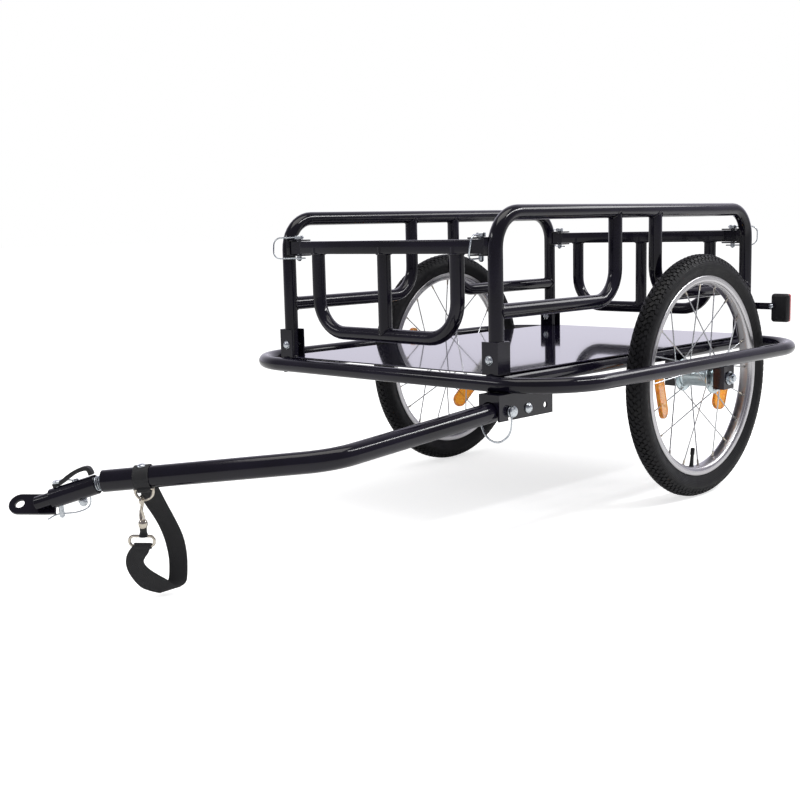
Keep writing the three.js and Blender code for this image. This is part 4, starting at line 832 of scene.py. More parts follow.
def webbing():
    """Woven black polypropylene webbing: ribs across its run, raised picks and a soft side sheen."""
    made, tree = blank("woven black webbing")
    flat = add(tree, "ShaderNodeUVMap", uv_map="UVMap").outputs["UV"]
    # Real picks are about 1 mm apart; 2 mm is as fine as the picture shows. The darker mortar lines between
    # the picks are painted shade in their grooves, which the bump also sinks
    weave = add(tree, "ShaderNodeTexBrick", {
        "Vector": flat, "Scale": per_mm(2), "Color1": linear("#26262a"), "Color2": linear("#1b1b1f"),
        "Mortar": linear("#0b0b0d"), "Mortar Size": 0.09, "Mortar Smooth": 0.6, "Brick Width": 1.1,
        "Row Height": 0.6})
    fuzz = add(tree, "ShaderNodeTexNoise", {"Vector": flat, "Scale": per_mm(0.7), "Detail": 3.0})
    lint = add(tree, "ShaderNodeBump", {"Height": fuzz.outputs["Fac"], "Strength": 0.3, "Distance": 0.0003})
    bump = add(tree, "ShaderNodeBump", {"Height": weave.outputs["Fac"], "Strength": 0.8, "Distance": 0.0005,
                                        "Normal": lint.outputs["Normal"]}, invert=True)
    cloth = add(tree, "ShaderNodeBsdfPrincipled", {
        "Base Color": weave.outputs["Color"], "Roughness": 0.75, "IOR": 1.5, "Sheen Weight": 0.25,
        "Sheen Roughness": 0.4, "Normal": bump.outputs["Normal"]})
    close(tree, cloth.outputs["BSDF"])
    return made


FINISHES = {
    "frame_paint": frame_paint,
    "deck_paint": deck_paint,
    # Bright zinc-plated steel fasteners: silver with a faint blue cast
    "zinc": lambda: plated("bright zinc plate", "#b4bbc1", "#dfe4e8", 0.18, 0.34, 3),
    # Nickel-plated steel wire and die casting: warmer and smoother than the zinc
    "nickel": lambda: plated("nickel plate", "#b9b0a2", "#e2dccf", 0.1, 0.22, 5),
    # Drawn stainless spoke wire: grey silver, softly polished
    "spoke_steel": lambda: plated("stainless spoke wire", "#a9abae", "#d6d8da", 0.24, 0.36, 2),
    "galvanised": galvanised,
    "rim_left": lambda: rim_alloy(1),
    "rim_right": lambda: rim_alloy(-1),
    "rubber_left": lambda: tread_rubber(1),
    "rubber_right": lambda: tread_rubber(-1),
    # Amber acrylic of the spoke reflectors: clear enough to glow against the floor; its lighter colour is the
    # painted glint at each prism cell's middle
    "amber": lambda: prism_plastic("moulded amber acrylic", "#ff9c00", "#ffc42c", 5, 0.55),
    # Red acrylic of the rear lens: deeper, with its prisms closer together; its lighter colour is the same
    # painted glint
    "red": lambda: prism_plastic("moulded red acrylic", "#c4101c", "#f04048", 3, 0.15),
    "black_plastic": black_plastic,
    "webbing": webbing,
}
made_finishes = {}


def material(name):
    """The material of a finish, made the first time it is asked for."""
    if name not in made_finishes:
        made_finishes[name] = FINISHES[name]()
    return made_finishes[name]


# ---------------------------------------------------------------- settings

class TrailerSizes(bpy.types.PropertyGroup):
    """Sizes that change how fine the visible pieces are, not how big the trailer is."""

    tread_blocks: IntProperty(name="Tread blocks", description="Blocks in one row round a tyre",
                              default=112, min=40, max=160)
    tread_depth: FloatProperty(name="Tread depth", description="Height of the tread blocks",
                               default=0.0026, min=0.001, max=0.004, unit="LENGTH", precision=4)
    spoke_diameter: FloatProperty(name="Spoke diameter", description="Thickness of the spoke wire",
                                  default=0.0021, min=0.0015, max=0.0024, unit="LENGTH", precision=4)
    weld_radius: FloatProperty(name="Weld bead", description="Radius of the weld beads",
                               default=0.0016, min=0.0005, max=0.003, unit="LENGTH", precision=4)
    webbing_thickness: FloatProperty(name="Webbing thickness", description="Thickness of the strap's webbing",
                                     default=0.0019, min=0.001, max=0.0024, unit="LENGTH", precision=4)


class TrailerFinishes(bpy.types.PropertyGroup):
    """Colours of the main finishes, in linear light."""

    paint_dark: FloatVectorProperty(name="Paint, dark", description="Darker tone of the frame's paint",
                                    default=linear("#0c0a14")[:3], size=3, subtype="COLOR", min=0, max=1)
    paint_light: FloatVectorProperty(name="Paint, light", description="Lighter tone of the frame's paint",
                                     default=linear("#161322")[:3], size=3, subtype="COLOR", min=0, max=1)
    rubber_dark: FloatVectorProperty(name="Rubber, dark", description="Darker tone of the tyres",
                                     default=linear("#0a0a0c")[:3], size=3, subtype="COLOR", min=0, max=1)
    rubber_light: FloatVectorProperty(name="Rubber, light", description="Lighter tone of the tyres",
                                      default=linear("#17171b")[:3], size=3, subtype="COLOR", min=0, max=1)


# ---------------------------------------------------------------- pieces

def dressed(name, node, finish, round_mm):
    """Makes a piece of a CAD node's own shape, with a finish and rounded edges, on the trailer's frame."""
    piece = Piece(name, finish)
    piece.gather(cad_copy(node))
    piece.done(Matrix(), "trailer_frame", [node], round_mm=round_mm)


def weld(point, direction, main_axis, main_r, branch_r):
    """A weld bead round a branch tube's foot, and its frame: Z along the branch, X along the main tube."""
    bead_r = bpy.context.scene.trailer_sizes.weld_radius / MM
    line = saddle(main_r + bead_r * 0.25, branch_r + bead_r * 0.25)
    place = line_frame(Vector(point), Vector(direction), Vector(main_axis))
    return drawn(line, round_section(bead_r, 8), closed=True), place


def ring_bead(radius):
    """A weld bead in a flat ring, where a tube meets a flat face."""
    bead_r = bpy.context.scene.trailer_sizes.weld_radius / MM
    return drawn(round_section(radius, 28), round_section(bead_r, 8), closed=True)


def seen_rays(tree):
    """The kinds of ray that light follows, and 1 for a ray from the camera or through a clear piece."""
    ray = add(tree, "ShaderNodeLightPath").outputs
    seen = add(tree, "ShaderNodeMath", {0: ray["Is Camera Ray"], 1: ray["Is Transmission Ray"]},
               operation="MAXIMUM")
    return ray, seen.outputs[0]


class TRAILER_OT_stage(bpy.types.Operator):
    """Makes the camera, the floor, the lamps and the pale room"""
    bl_idname = "trailer.stage"
    bl_label = "Stage"

    def execute(self, context):
        scene = context.scene
        scene.view_settings.view_transform = "Standard"
        self.photo_camera(scene)
        self.studio_floor(scene)
        self.studio_room(scene)
        for name, place, aim, width, height, watts, colour in LAMPS:
            lamp = bpy.data.lights.new(name, "AREA")
            lamp.shape = "RECTANGLE"
            lamp.size = width
            lamp.size_y = height
            lamp.energy = watts
            lamp.color = linear(colour)[:3]
            holder = bpy.data.objects.new(name, lamp)
            holder.matrix_world = line_frame(place, Vector(place) - Vector(aim))
            scene.collection.objects.link(holder)
        return {"FINISHED"}

    def photo_camera(self, scene):
        """The camera, at the photograph's viewing angle."""
        camera = bpy.data.cameras.new("photo_camera")
        camera.sensor_width = CAMERA_SENSOR
        camera.lens = CAMERA_LENS
        camera.clip_end = 100
        holder = bpy.data.objects.new("photo_camera", camera)
        axes = Matrix((CAMERA_RIGHT, CAMERA_UP, CAMERA_RIGHT.cross(CAMERA_UP)))
        holder.matrix_world = Matrix.Translation(TRAILER @ CAMERA_PLACE * MM) @ axes.transposed().to_4x4()
        scene.collection.objects.link(holder)
        scene.camera = holder

    def studio_floor(self, scene):
        """Matt white paper, lifted to white where the camera or a mirror sees it, with its shadow kept."""
        made, tree = blank("white studio paper")
        ray, seen = seen_rays(tree)
        bright = add(tree, "ShaderNodeMath", {0: seen, 1: FLOOR_SEEN}, operation="MULTIPLY")
        mirrored = add(tree, "ShaderNodeMath", {0: ray["Is Glossy Ray"], 1: FLOOR_MIRRORED},
                       operation="MULTIPLY")
        level = add(tree, "ShaderNodeMath", {0: bright.outputs[0], 1: mirrored.outputs[0]},
                    operation="MAXIMUM")
        glow = add(tree, "ShaderNodeEmission", {"Color": (1, 1, 1, 1), "Strength": level.outputs[0]})
        matt = add(tree, "ShaderNodeBsdfDiffuse", {"Color": linear("#e9e9ea")})
        both = add(tree, "ShaderNodeAddShader", {0: glow.outputs[0], 1: matt.outputs[0]})
        close(tree, both.outputs[0])
        bm = bmesh.new()
        bmesh.ops.create_grid(bm, x_segments=8, y_segments=8, size=FLOOR_SIZE)
        mesh = bpy.data.meshes.new("studio_floor")
        bm.to_mesh(mesh)
        bm.free()
        mesh.materials.append(made)
        floor = bpy.data.objects.new("studio_floor", mesh)
        scene.collection.objects.link(floor)

    def studio_room(self, scene):
        """A pale room: white to the camera, with a white backdrop and a dimmer front half in reflections."""
        world = bpy.data.worlds.new("studio_room")
        world.use_nodes = True
        tree = world.node_tree
        tree.nodes.clear()
        ray, seen = seen_rays(tree)
        glossy = ray["Is Glossy Ray"]
        heading = add(tree, "ShaderNodeTexCoord").outputs["Generated"]
        facing = add(tree, "ShaderNodeVectorMath", {0: heading, 1: BACKDROP_WAY}, operation="DOT_PRODUCT")
        backdrop = add(tree, "ShaderNodeMapRange", {
            "Value": facing.outputs["Value"], "From Min": 0.1, "From Max": 0.7,
            "To Min": ROOM_DIM, "To Max": 1.0})
        mirrored = add(tree, "ShaderNodeMath", {0: glossy, 1: backdrop.outputs["Result"]},
                       operation="MULTIPLY")
        plain = add(tree, "ShaderNodeMapRange", {"Value": glossy, "To Min": ROOM_LIGHT, "To Max": 0.0})
        unseen = add(tree, "ShaderNodeMath", {0: mirrored.outputs[0], 1: plain.outputs["Result"]})
        level = add(tree, "ShaderNodeMath", {0: unseen.outputs[0], 1: seen}, operation="MAXIMUM")
        tone = add(tree, "ShaderNodeValToRGB", {"Fac": glossy},
                   [(0.0, linear("#ffffff")), (1.0, linear("#e9e6f5"))])
        sky = add(tree, "ShaderNodeBackground", {
            "Color": tone.outputs["Color"], "Strength": level.outputs[0]})
        add(tree, "ShaderNodeOutputWorld", {"Surface": sky.outputs[0]})
        scene.world = world


class TRAILER_OT_base_frame(bpy.types.Operator):
    """Makes the base loop, the rails under the deck and the deck"""
    bl_idname = "trailer.base_frame"
    bl_label = "Base frame and deck"

    def execute(self, context):
        corners = [(LOOP_FRONT_X, LOOP_HALF_WIDTH, LOOP_Z), (LOOP_REAR_X, LOOP_HALF_WIDTH, LOOP_Z),
                   (LOOP_REAR_X, -LOOP_HALF_WIDTH, LOOP_Z), (LOOP_FRONT_X, -LOOP_HALF_WIDTH, LOOP_Z)]
        loop = Piece("base_loop", "frame_paint")
        loop.gather(drawn(bend_places(corners, LOOP_BEND_R, closed=True, steps=16),
                          round_section(TUBE_R, 40), closed=True))
        loop.done(TRAILER, "trailer_frame", ["frame_loop"])

        rails = Piece("under_deck_rails", "frame_paint")
        for side in (1, -1):
            y = side * RAIL_HALF_WIDTH
            rails.gather(rod((LOOP_FRONT_X, y, LOOP_Z), (LOOP_REAR_X, y, LOOP_Z), BRANCH_R, 32))
            for x, way in ((LOOP_FRONT_X, -1), (LOOP_REAR_X, 1)):
                rails.gather(*weld((x, y, LOOP_Z), (way, 0, 0), (0, 1, 0), TUBE_R, BRANCH_R))
            rails.gather(*weld((0, y, LOOP_Z), (0, -side, 0), (1, 0, 0), TUBE_R, CROSS_R))
        rails.gather(rod((0, RAIL_HALF_WIDTH, LOOP_Z), (0, -RAIL_HALF_WIDTH, LOOP_Z), CROSS_R, 32))
        rails.done(TRAILER, "trailer_frame", ["inner_frame"])
        dressed("deck_sheet", "deck_plate", "deck_paint", 0.7)
        return {"FINISHED"}


class TRAILER_OT_foot_brackets(bpy.types.Operator):
    """Makes the folded brackets that hold the posts, and their bolts"""
    bl_idname = "trailer.foot_brackets"
    bl_label = "Foot brackets"

    def execute(self, context):
        washer_t = 0.9
        washer = [(0, washer_t), (FOOT_HEAD_R - 0.6, washer_t), (FOOT_HEAD_R, 0.4), (FOOT_HEAD_R, 0), (0, 0)]
        for end, post_x, way in ENDS:
            for side_name, side in SIDES:
                name = f"{end}_{side_name}"
                dressed(f"post_bracket_{name}", f"foot_bracket_{name}", "frame_paint", 0.8)
                head, foot = (shift(to * FOOT_GRIP) @ turn(to * math.pi / 2, "Y") for to in (way, -way))
                bolt = Piece(f"post_bolt_{name}", "zinc")
                bolt.gather(rod((-FOOT_GRIP, 0, 0), (FOOT_GRIP, 0, 0), 4, 16))
                bolt.gather(turned(washer), head)
                bolt.gather(dome(FOOT_HEAD_R - 1, FOOT_HEAD_H - washer_t), head @ shift(0, 0, washer_t))
                bolt.gather(hex_nut(FOOT_HEAD_R, FOOT_HEAD_H), foot)
                bolt.gather(dome(4, FOOT_HEAD_H * 0.95, 16), foot)
                bolt.done(TRAILER @ shift(post_x, side * FOOT_BOLT_Y, FOOT_BOLT_Z), "trailer_frame",
                          [f"foot_bolt_{name}"])
        return {"FINISHED"}


class TRAILER_OT_side_panels(bpy.types.Operator):
    """Makes the two hooped side panels, with their braces, welds and clevises"""
    bl_idname = "trailer.side_panels"
    bl_label = "Side panels"

    def execute(self, context):
        for side_name, side in SIDES:
            y = side * PANEL_Y
            panel = Piece(f"hooped_panel_{side_name}", "frame_paint")
            hoop = [(FRONT_POST_X, y, POST_FOOT_Z), (FRONT_POST_X, y, PANEL_TOP_Z),
                    (REAR_POST_X, y, PANEL_TOP_Z), (REAR_POST_X, y, POST_FOOT_Z)]
            panel.gather(drawn(bend_places(hoop, PANEL_BEND_R), round_section(TUBE_R)))
            for post_x, brace_x, way in ((FRONT_POST_X, FRONT_BRACE_X, -1), (REAR_POST_X, REAR_BRACE_X, 1)):
                brace = [(post_x, y, BRACE_Z), (brace_x, y, BRACE_Z), (brace_x, y, PANEL_TOP_Z)]
                panel.gather(drawn(bend_places(brace, BRACE_BEND_R), round_section(BRANCH_R)))
                panel.gather(*weld(brace[0], (way, 0, 0), (0, 0, 1), TUBE_R, BRANCH_R))
                panel.gather(*weld(brace[2], (0, 0, -1), (1, 0, 0), TUBE_R, BRANCH_R))
                self.clevis(panel, post_x, side, -way)
            panel.done(TRAILER, "trailer_frame", [f"side_panel_{side_name}"])
        return {"FINISHED"}

    def clevis(self, panel, post_x, side, way):
        """Two slotted plates and their web, welded to the inside of a post."""
        hole_r = PIN_R + 0.5
        tip, pin, root = PANEL_Y - CLEVIS_TIP, PANEL_Y - PIN_INSET, PANEL_Y - TUBE_R / 2
        arc = [(way * hole_r * math.sin(a), pin - hole_r * math.cos(a))
               for a in (-math.pi * i / 8 for i in range(9))]
        points = [(way * CLEVIS_HALF, tip), (-way * CLEVIS_HALF, tip), (-way * CLEVIS_HALF, root),
                  (way * CLEVIS_HALF, root), (way * CLEVIS_HALF, pin + hole_r), *reversed(arc),
                  (way * CLEVIS_HALF, pin - hole_r)]
        points = [(x, side * y) for x, y in points]
        for z in (CLEVIS_TOP_Z - CLEVIS_T, CLEVIS_BOTTOM_Z):
            panel.gather(sheet_cut(points, CLEVIS_T, 0.5), shift(post_x, 0, z))
        web = sorted((side * (PANEL_Y - CLEVIS_WEB), side * root))
        panel.gather(block((post_x - CLEVIS_HALF, web[0], CLEVIS_BOTTOM_Z + 0.2),
                           (post_x + CLEVIS_HALF, web[1], CLEVIS_TOP_Z - 0.2), 0.6))


class TRAILER_OT_gates(bpy.types.Operator):
    """Makes the front and rear gates: a square rail over a hoop with a stub in its middle"""
    bl_idname = "trailer.gates"
    bl_label = "Gates"

    def execute(self, context):
        h, w = GATE_RAIL_H / 2, GATE_RAIL_W / 2
        stub_r = GATE_TUBE_R - 0.1
        bead_r = GATE_TUBE_R + 0.4
        for end, post_x, _ in ENDS:
            gate = Piece(f"pinned_gate_{end}", "frame_paint")
            gate.gather(block((-w, -GATE_RAIL_HALF, -h), (w, GATE_RAIL_HALF, h), 2.2, 4))
            for side in (1, -1):
                self.lug(gate, side)
                gate.gather(ring_bead(bead_r), shift(0, side * GATE_HOOP_Y, -h))
            hoop = [(0, GATE_HOOP_Y, 0), (0, GATE_HOOP_Y, -GATE_HOOP_DROP),
                    (0, -GATE_HOOP_Y, -GATE_HOOP_DROP), (0, -GATE_HOOP_Y, 0)]
            gate.gather(drawn(bend_places(hoop, GATE_HOOP_BEND_R), round_section(GATE_TUBE_R)))
            gate.gather(rod((0, 0, 0), (0, 0, -GATE_HOOP_DROP), stub_r, 32))
            gate.gather(ring_bead(bead_r), shift(0, 0, -h))
            gate.gather(*weld((0, 0, -GATE_HOOP_DROP), (0, 0, 1), (0, 1, 0), GATE_TUBE_R, stub_r))
            gate.done(TRAILER @ shift(post_x, 0, GATE_Z), f"gate_{end}", [f"gate_{end}"])
        return {"FINISHED"}

    def lug(self, gate, side):
        """The narrower end of the rail, bored for its pin."""
        w = GATE_LUG_W / 2
        pin_y = side * (PANEL_Y - PIN_INSET)
        low, high = sorted((side * (GATE_RAIL_HALF - 2), side * GATE_LUG_END))
        near, far = (-w, low - pin_y), (w, high - pin_y)
        plate = bored_plate(PIN_R + 0.3, 32, lambda way: to_box(way, near, far), GATE_RAIL_H)
        gate.gather(plate, shift(0, pin_y, -GATE_RAIL_H / 2))


class TRAILER_OT_gate_pins(bpy.types.Operator):
    """Makes the four gate pins and their wire clips"""
    bl_idname = "trailer.gate_pins"
    bl_label = "Gate pins"

    def execute(self, context):
        seat = CLEVIS_TOP_Z + 0.3 - GATE_Z
        tip = CLEVIS_BOTTOM_Z - 8.5 - GATE_Z
        clip_top = seat + 3
        clip_bottom = CLEVIS_BOTTOM_Z - CLIP_R - 2.5 - GATE_Z
        for end, post_x, way in ENDS:
            for side_name, side in SIDES:
                name = f"{end}_{side_name}"
                swing = math.radians(67 if name == "front_left" else 31)
                place = TRAILER @ shift(post_x, side * (PANEL_Y - PIN_INSET), GATE_Z)
                place = place @ turn(side * (math.pi / 2 - way * swing), "Z")
                pin = Piece(f"lock_pin_{name}", "zinc")
                pin.gather(turned([
                    (0, tip), (1.6, tip), (2.4, tip + 0.6), (PIN_R, tip + 2.4), (PIN_R, seat), (6.4, seat),
                    (7, seat + 0.6), (7, seat + 5.2), (6.3, seat + 6), (0, seat + 6)]))
                pin.done(place, f"pin_{name}", [f"gate_pin_{name}"])
                beside = -way * side * (PIN_R + CLIP_R + 0.3)
                clip = Piece(f"wire_clip_{name}", "zinc")
                clip.gather(drawn(bend_places([
                    (-7 - CLIP_R, 0, clip_top), (CLIP_REACH, 0, clip_top),
                    (CLIP_REACH, beside, clip_bottom), (-CLIP_TAIL, beside, clip_bottom),
                ], 12), round_section(CLIP_R, 12)))
                clip.done(place, f"pin_{name}", [f"pin_clip_{name}"])
        return {"FINISHED"}


class TRAILER_OT_tyres(bpy.types.Operator):
    """Makes the two tyres, with their blocks of tread"""
    bl_idname = "trailer.tyres"
    bl_label = "Tyres"

    def execute(self, context):
        sizes = context.scene.trailer_sizes
        depth = sizes.tread_depth / MM
        inner = RIM_OUTER_R + 0.3
        half_h = (WHEEL_R - inner) / 2
        middle = inner + half_h
        for name, side in SIDES:
            tyre = Piece(f"knobbed_tyre_{name}", f"rubber_{name}")
            start = -math.pi / 2 + math.acos(TYRE_BASE_HALF / TYRE_HALF_W)
            profile = [(inner, -TYRE_BASE_HALF), (inner, TYRE_BASE_HALF)]
            for i in range(1, 24):
                angle = start + (math.pi - 2 * start) * i / 24
                crown = max(0, math.sin(angle)) ** 0.5
                profile.append((middle + half_h * math.sin(angle) - depth * crown,
                                (TYRE_HALF_W - 0.3) * math.cos(angle)))
            tyre.gather(turned(profile, 128, "Y", closed=True))
            self.tread(tyre, sizes.tread_blocks, depth, middle, half_h)
            tyre.done(wheel_place(side), f"wheel_{name}", [f"tyre_{name}"], sharp_deg=38)
        return {"FINISHED"}

    def tread(self, tyre, count, depth, middle, half_h):
        """Rows of tread blocks: each row's first block is made, and copied round the wheel."""
        pitch = 2 * math.pi / count
        length = 2 * math.pi * WHEEL_R / count
        # Angle round the tyre's section, block length as a share of the pitch, width in mm, skew, start
        rows = ((0, 0.74, 6.2, 28, 0), (21, 0.72, 5.2, -34, 0.5), (-21, 0.72, 5.2, 34, 0.5),
                (42, 0.66, 5.4, 18, 0), (-42, 0.66, 5.4, -18, 0), (63, 0.46, 6.6, 0, 0.5),
                (-63, 0.46, 6.6, 0, 0.5))
        for row_deg, share, width, skew_deg, start in rows:
            a = math.radians(row_deg)
            out = middle + half_h * math.cos(a)
            sideways = TYRE_HALF_W * math.sin(a)
            lean = math.atan2(math.sin(a) / TYRE_HALF_W, math.cos(a) / half_h)
            row = bmesh.new()
            place = (turn(-start * pitch, "Y") @ shift(out, sideways, 0) @ turn(lean, "Z")
                     @ shift(-depth / 2 - 0.8, 0, 0) @ turn(math.radians(skew_deg), "X"))
            size = Matrix.Diagonal((depth + 0.5, width, length * share, 1))
            bmesh.ops.create_cube(row, size=1, matrix=place @ size)
            bmesh.ops.spin(row, geom=row.verts[:] + row.edges[:] + row.faces[:], cent=(0, 0, 0),
                           axis=(0, 1, 0), dvec=(0, 0, 0), angle=2 * math.pi * (count - 1) / count,
                           steps=count - 1, use_merge=False, use_duplicate=True)
            tyre.gather(row)


class TRAILER_OT_rims(bpy.types.Operator):
    """Makes the two rims, with their spoke nipples and valves"""
    bl_idname = "trailer.rims"
    bl_label = "Rims"

    def execute(self, context):
        # The rim's section: its tyre side and its spoke side, each from the rim's edge to the middle
        half, lip = RIM_HALF_W, RIM_HALF_W - 1.7
        edge = [(RIM_OUTER_R - down, y) for down, y in (
            (0.8, half), (0, half - 0.7), (0.2, lip), (1.4, lip - 0.2), (5.4, lip), (6.6, lip - 2),
            (8.6, lip - 5))]
        wall = [(RIM_OUTER_R - 6.5, half), (RIM_OUTER_R - 9, half - 0.6), (RIM_OUTER_R - 11.2, half - 2.6),
                (RIM_INNER_R + 0.9, half - 5), (RIM_INNER_R + 0.1, half - 8.2)]
        section = edge + [(r, -y) for r, y in reversed(edge)] + [(r, -y) for r, y in wall] + wall[::-1]
        tip = RIM_INNER_R - VALVE_LENGTH
        valve = [(0, RIM_INNER_R + 1), (4.6, RIM_INNER_R + 0.6), (3.4, RIM_INNER_R - 2.5),
                 (3.1, RIM_INNER_R - 9), (2.7, tip + 13), (2.7, tip + 12), (3.5, tip + 11.4),
                 (3.5, tip + 1.8), (3.0, tip + 0.5), (1.6, tip), (0, tip)]
        for name, side in SIDES:
            rim = Piece(f"spoked_rim_{name}", f"rim_{name}", "black_plastic", "nickel")
            rim.gather(turned(section, 128, "Y", closed=True))
            rim.gather(turned(valve, 24), turn(side * VALVE_TURN, "Y"), 1)
            for start, end in spoke_places():
                along = (end - start).normalized()
                outward = end.normalized()
                rim.gather(rod(end - along * 9, end + along * 1.2, 1.55, 10, 1.8), None, 2)
                rim.gather(rod(outward * (RIM_INNER_R - 0.7), outward * (RIM_INNER_R + 1), 3.2, 14, 3.6))
            rim.done(wheel_place(side), f"wheel_{name}", [f"rim_{name}"])
        return {"FINISHED"}


def spoke_places():
    """Each spoke's two ends, at its hub flange and at the rim, as the CAD source lays them."""
    places = []
    for i, rim_turn in enumerate(turns(SPOKE_COUNT)):
        flange = 1 if i % 2 == 0 else -1
        lean = SPOKE_LEAN if i % 4 < 2 else -SPOKE_LEAN
        hub_turn = rim_turn + lean
        offset = flange * (FLANGE_Y + math.copysign(SPOKE_STEP / 2, lean))
        start = Vector((SPOKE_HOLE_R * math.cos(hub_turn), offset, SPOKE_HOLE_R * math.sin(hub_turn)))
        end = Vector((SPOKE_RIM_R * math.cos(rim_turn), 0, SPOKE_RIM_R * math.sin(rim_turn)))
        places.append((start, end))
    return places


class TRAILER_OT_hubs(bpy.types.Operator):
    """Makes the two hubs, with their flanges and spokes"""
    bl_idname = "trailer.hubs"
    bl_label = "Hubs and spokes"

    def execute(self, context):
        spoke_r = context.scene.trailer_sizes.spoke_diameter / MM / 2
        f_in, f_out = FLANGE_Y - FLANGE_T / 2, FLANGE_Y + FLANGE_T / 2
        # The shell swells to its flanges; half of its section, from the middle outwards
        waist = SHELL_R - 2.2
        half = [(waist, 0), (waist, f_in - 9), (SHELL_R - 1.6, f_in - 6), (SHELL_R, f_in - 4),
                (SHELL_R + 0.2, f_in - 0.8), (SHELL_R + 1.6, f_in), (FLANGE_R - 0.6, f_in),
                (FLANGE_R, f_in + 0.6), (FLANGE_R, f_out - 0.6), (FLANGE_R - 0.6, f_out),
                (HUB_END_R + 3, f_out), (HUB_END_R, f_out + 0.6), (HUB_END_R, HUB_HALF - 0.8),
                (HUB_END_R - 0.8, HUB_HALF), (5.5, HUB_HALF)]
        profile = [(r, -y) for r, y in reversed(half[1:])] + half
        for name, side in SIDES:
            hub = Piece(f"hub_with_spokes_{name}", "galvanised", "spoke_steel", "black_plastic")
            hub.gather(turned(profile, 64, "Y", closed=True))
            for start, end in spoke_places():
                hub.gather(rod(start, end, spoke_r, 10), None, 1)
                # Elbow and head of the spoke, through the flange
                sign = 1 if start.y > 0 else -1
                outer = abs(start.y) > FLANGE_Y
                face = sign * (f_out if outer else f_in)
                way = sign if outer else -sign
                head = Vector((start.x, face - way * FLANGE_T, start.z))
                hub.gather(rod(head, (start.x, face + way, start.z), spoke_r, 10), None, 1)
                hub.gather(dome(2.3, 1.2, 12), Matrix.Translation(head) @ turn(way * math.pi / 2, "X"), 1)
            # Holes in the flanges between the spokes show as dark dots: the holes are not cut, and thin black
            # plastic discs on the flange faces are painted shade in their place
            for i in range(HUB_HOLES):
                a = 2 * math.pi * (i + 0.35) / HUB_HOLES
                x, z = HUB_HOLE_OUT * math.cos(a), HUB_HOLE_OUT * math.sin(a)
                for sign in (1, -1):
                    hub.gather(rod((x, sign * (f_out - 0.4), z), (x, sign * (f_out + 0.06), z), 1.3, 10),
                               None, 2)
            hub.done(wheel_place(side), f"wheel_{name}", [f"hub_and_spokes_{name}"])
        return {"FINISHED"}


class TRAILER_OT_wheel_reflectors(bpy.types.Operator):
    """Makes the four amber reflectors on the spokes"""
    bl_idname = "trailer.wheel_reflectors"
    bl_label = "Spoke reflectors"

    def execute(self, context):
        slope = FLANGE_Y / (RIM_INNER_R - SPOKE_HOLE_R)
        oval = [(REFLECTOR_HALF + REFLECTOR_R * math.cos(a), REFLECTOR_R * math.sin(a))
                for a in (math.pi * (i / 12 - 0.5) for i in range(13))]
        oval += [(-x, -y) for x, y in oval]
        for name, side in SIDES:
            for i, turn_deg in enumerate(REFLECTOR_TURNS[name]):
                reflector = Piece(f"spoke_reflector_{name}_{i + 1}", "amber")
                body = sheet_cut(oval, REFLECTOR_T, 1.2)
                flats = [f for f in body.faces if abs(f.normal.z) > 0.9 and f.calc_area() > 500]
                bmesh.ops.inset_region(body, faces=flats, thickness=1.6, depth=0)
                bmesh.ops.inset_region(body, faces=flats, thickness=0.5, depth=-0.7)
                lie = (turn(math.radians(turn_deg), "Y")
                       @ shift(REFLECTOR_OUT, -slope * (RIM_INNER_R - REFLECTOR_OUT), 0)
                       @ turn(math.atan(slope), "Z") @ turn(math.pi / 2, "X") @ turn(math.pi / 2, "Z"))
                reflector.gather(body, lie @ shift(0, 0, -REFLECTOR_T / 2))
                reflector.done(wheel_place(side), f"wheel_{name}", [f"wheel_reflector_{name}_{i + 1}"],
                               sharp_deg=30)
        return {"FINISHED"}


class TRAILER_OT_axles(bpy.types.Operator):
    """Makes the axles with their nuts, and the folded plates that carry them"""
    bl_idname = "trailer.axles"
    bl_label = "Axles"

    def execute(self, context):
        spacer = [(AXLE_R, 0), (7.5, 0), (7.5, 6), (6.6, 6.6), (6.6, 9), (7.5, 9.6), (7.5, 16.4),
                  (AXLE_R, 16.4)]
        washer = [(AXLE_R, 0), (10.7, 0), (11, 0.3), (11, 1.3), (10.7, WASHER_T), (AXLE_R, WASHER_T)]
        thread = [(4.6, 0), (5.25, 0.22), (4.6, 0.45)]
        for name, side in SIDES:
            axle = Piece(f"axle_with_nuts_{name}", "zinc")
            axle.gather(rod((0, -AXLE_HALF, 0), (0, AXLE_HALF, 0), AXLE_R, 24))
            for way in (1, -1):
                lie = turn(-way * math.pi / 2, "X")
                axle.gather(turned(spacer, 32, closed=True), shift(0, way * SPACER_START, 0) @ lie)
                axle.gather(turned(washer, 36, closed=True), shift(0, way * WASHER_START, 0) @ lie)
                axle.gather(hex_nut(9.2, 8), shift(0, way * (WASHER_START + WASHER_T), 0) @ lie)
                for i in range(4):
                    y = way * (THREAD_START + i * THREAD_PITCH)
                    axle.gather(turned(thread, 20, closed=True), shift(0, y, 0) @ lie)
            axle.done(wheel_place(side), "trailer_frame", [f"axle_{name}"])
            for place in ("inner", "outer"):
                dressed(f"wheel_plate_{place}_{name}", f"axle_plate_{place}_{name}", "frame_paint", 0.9)
        return {"FINISHED"}


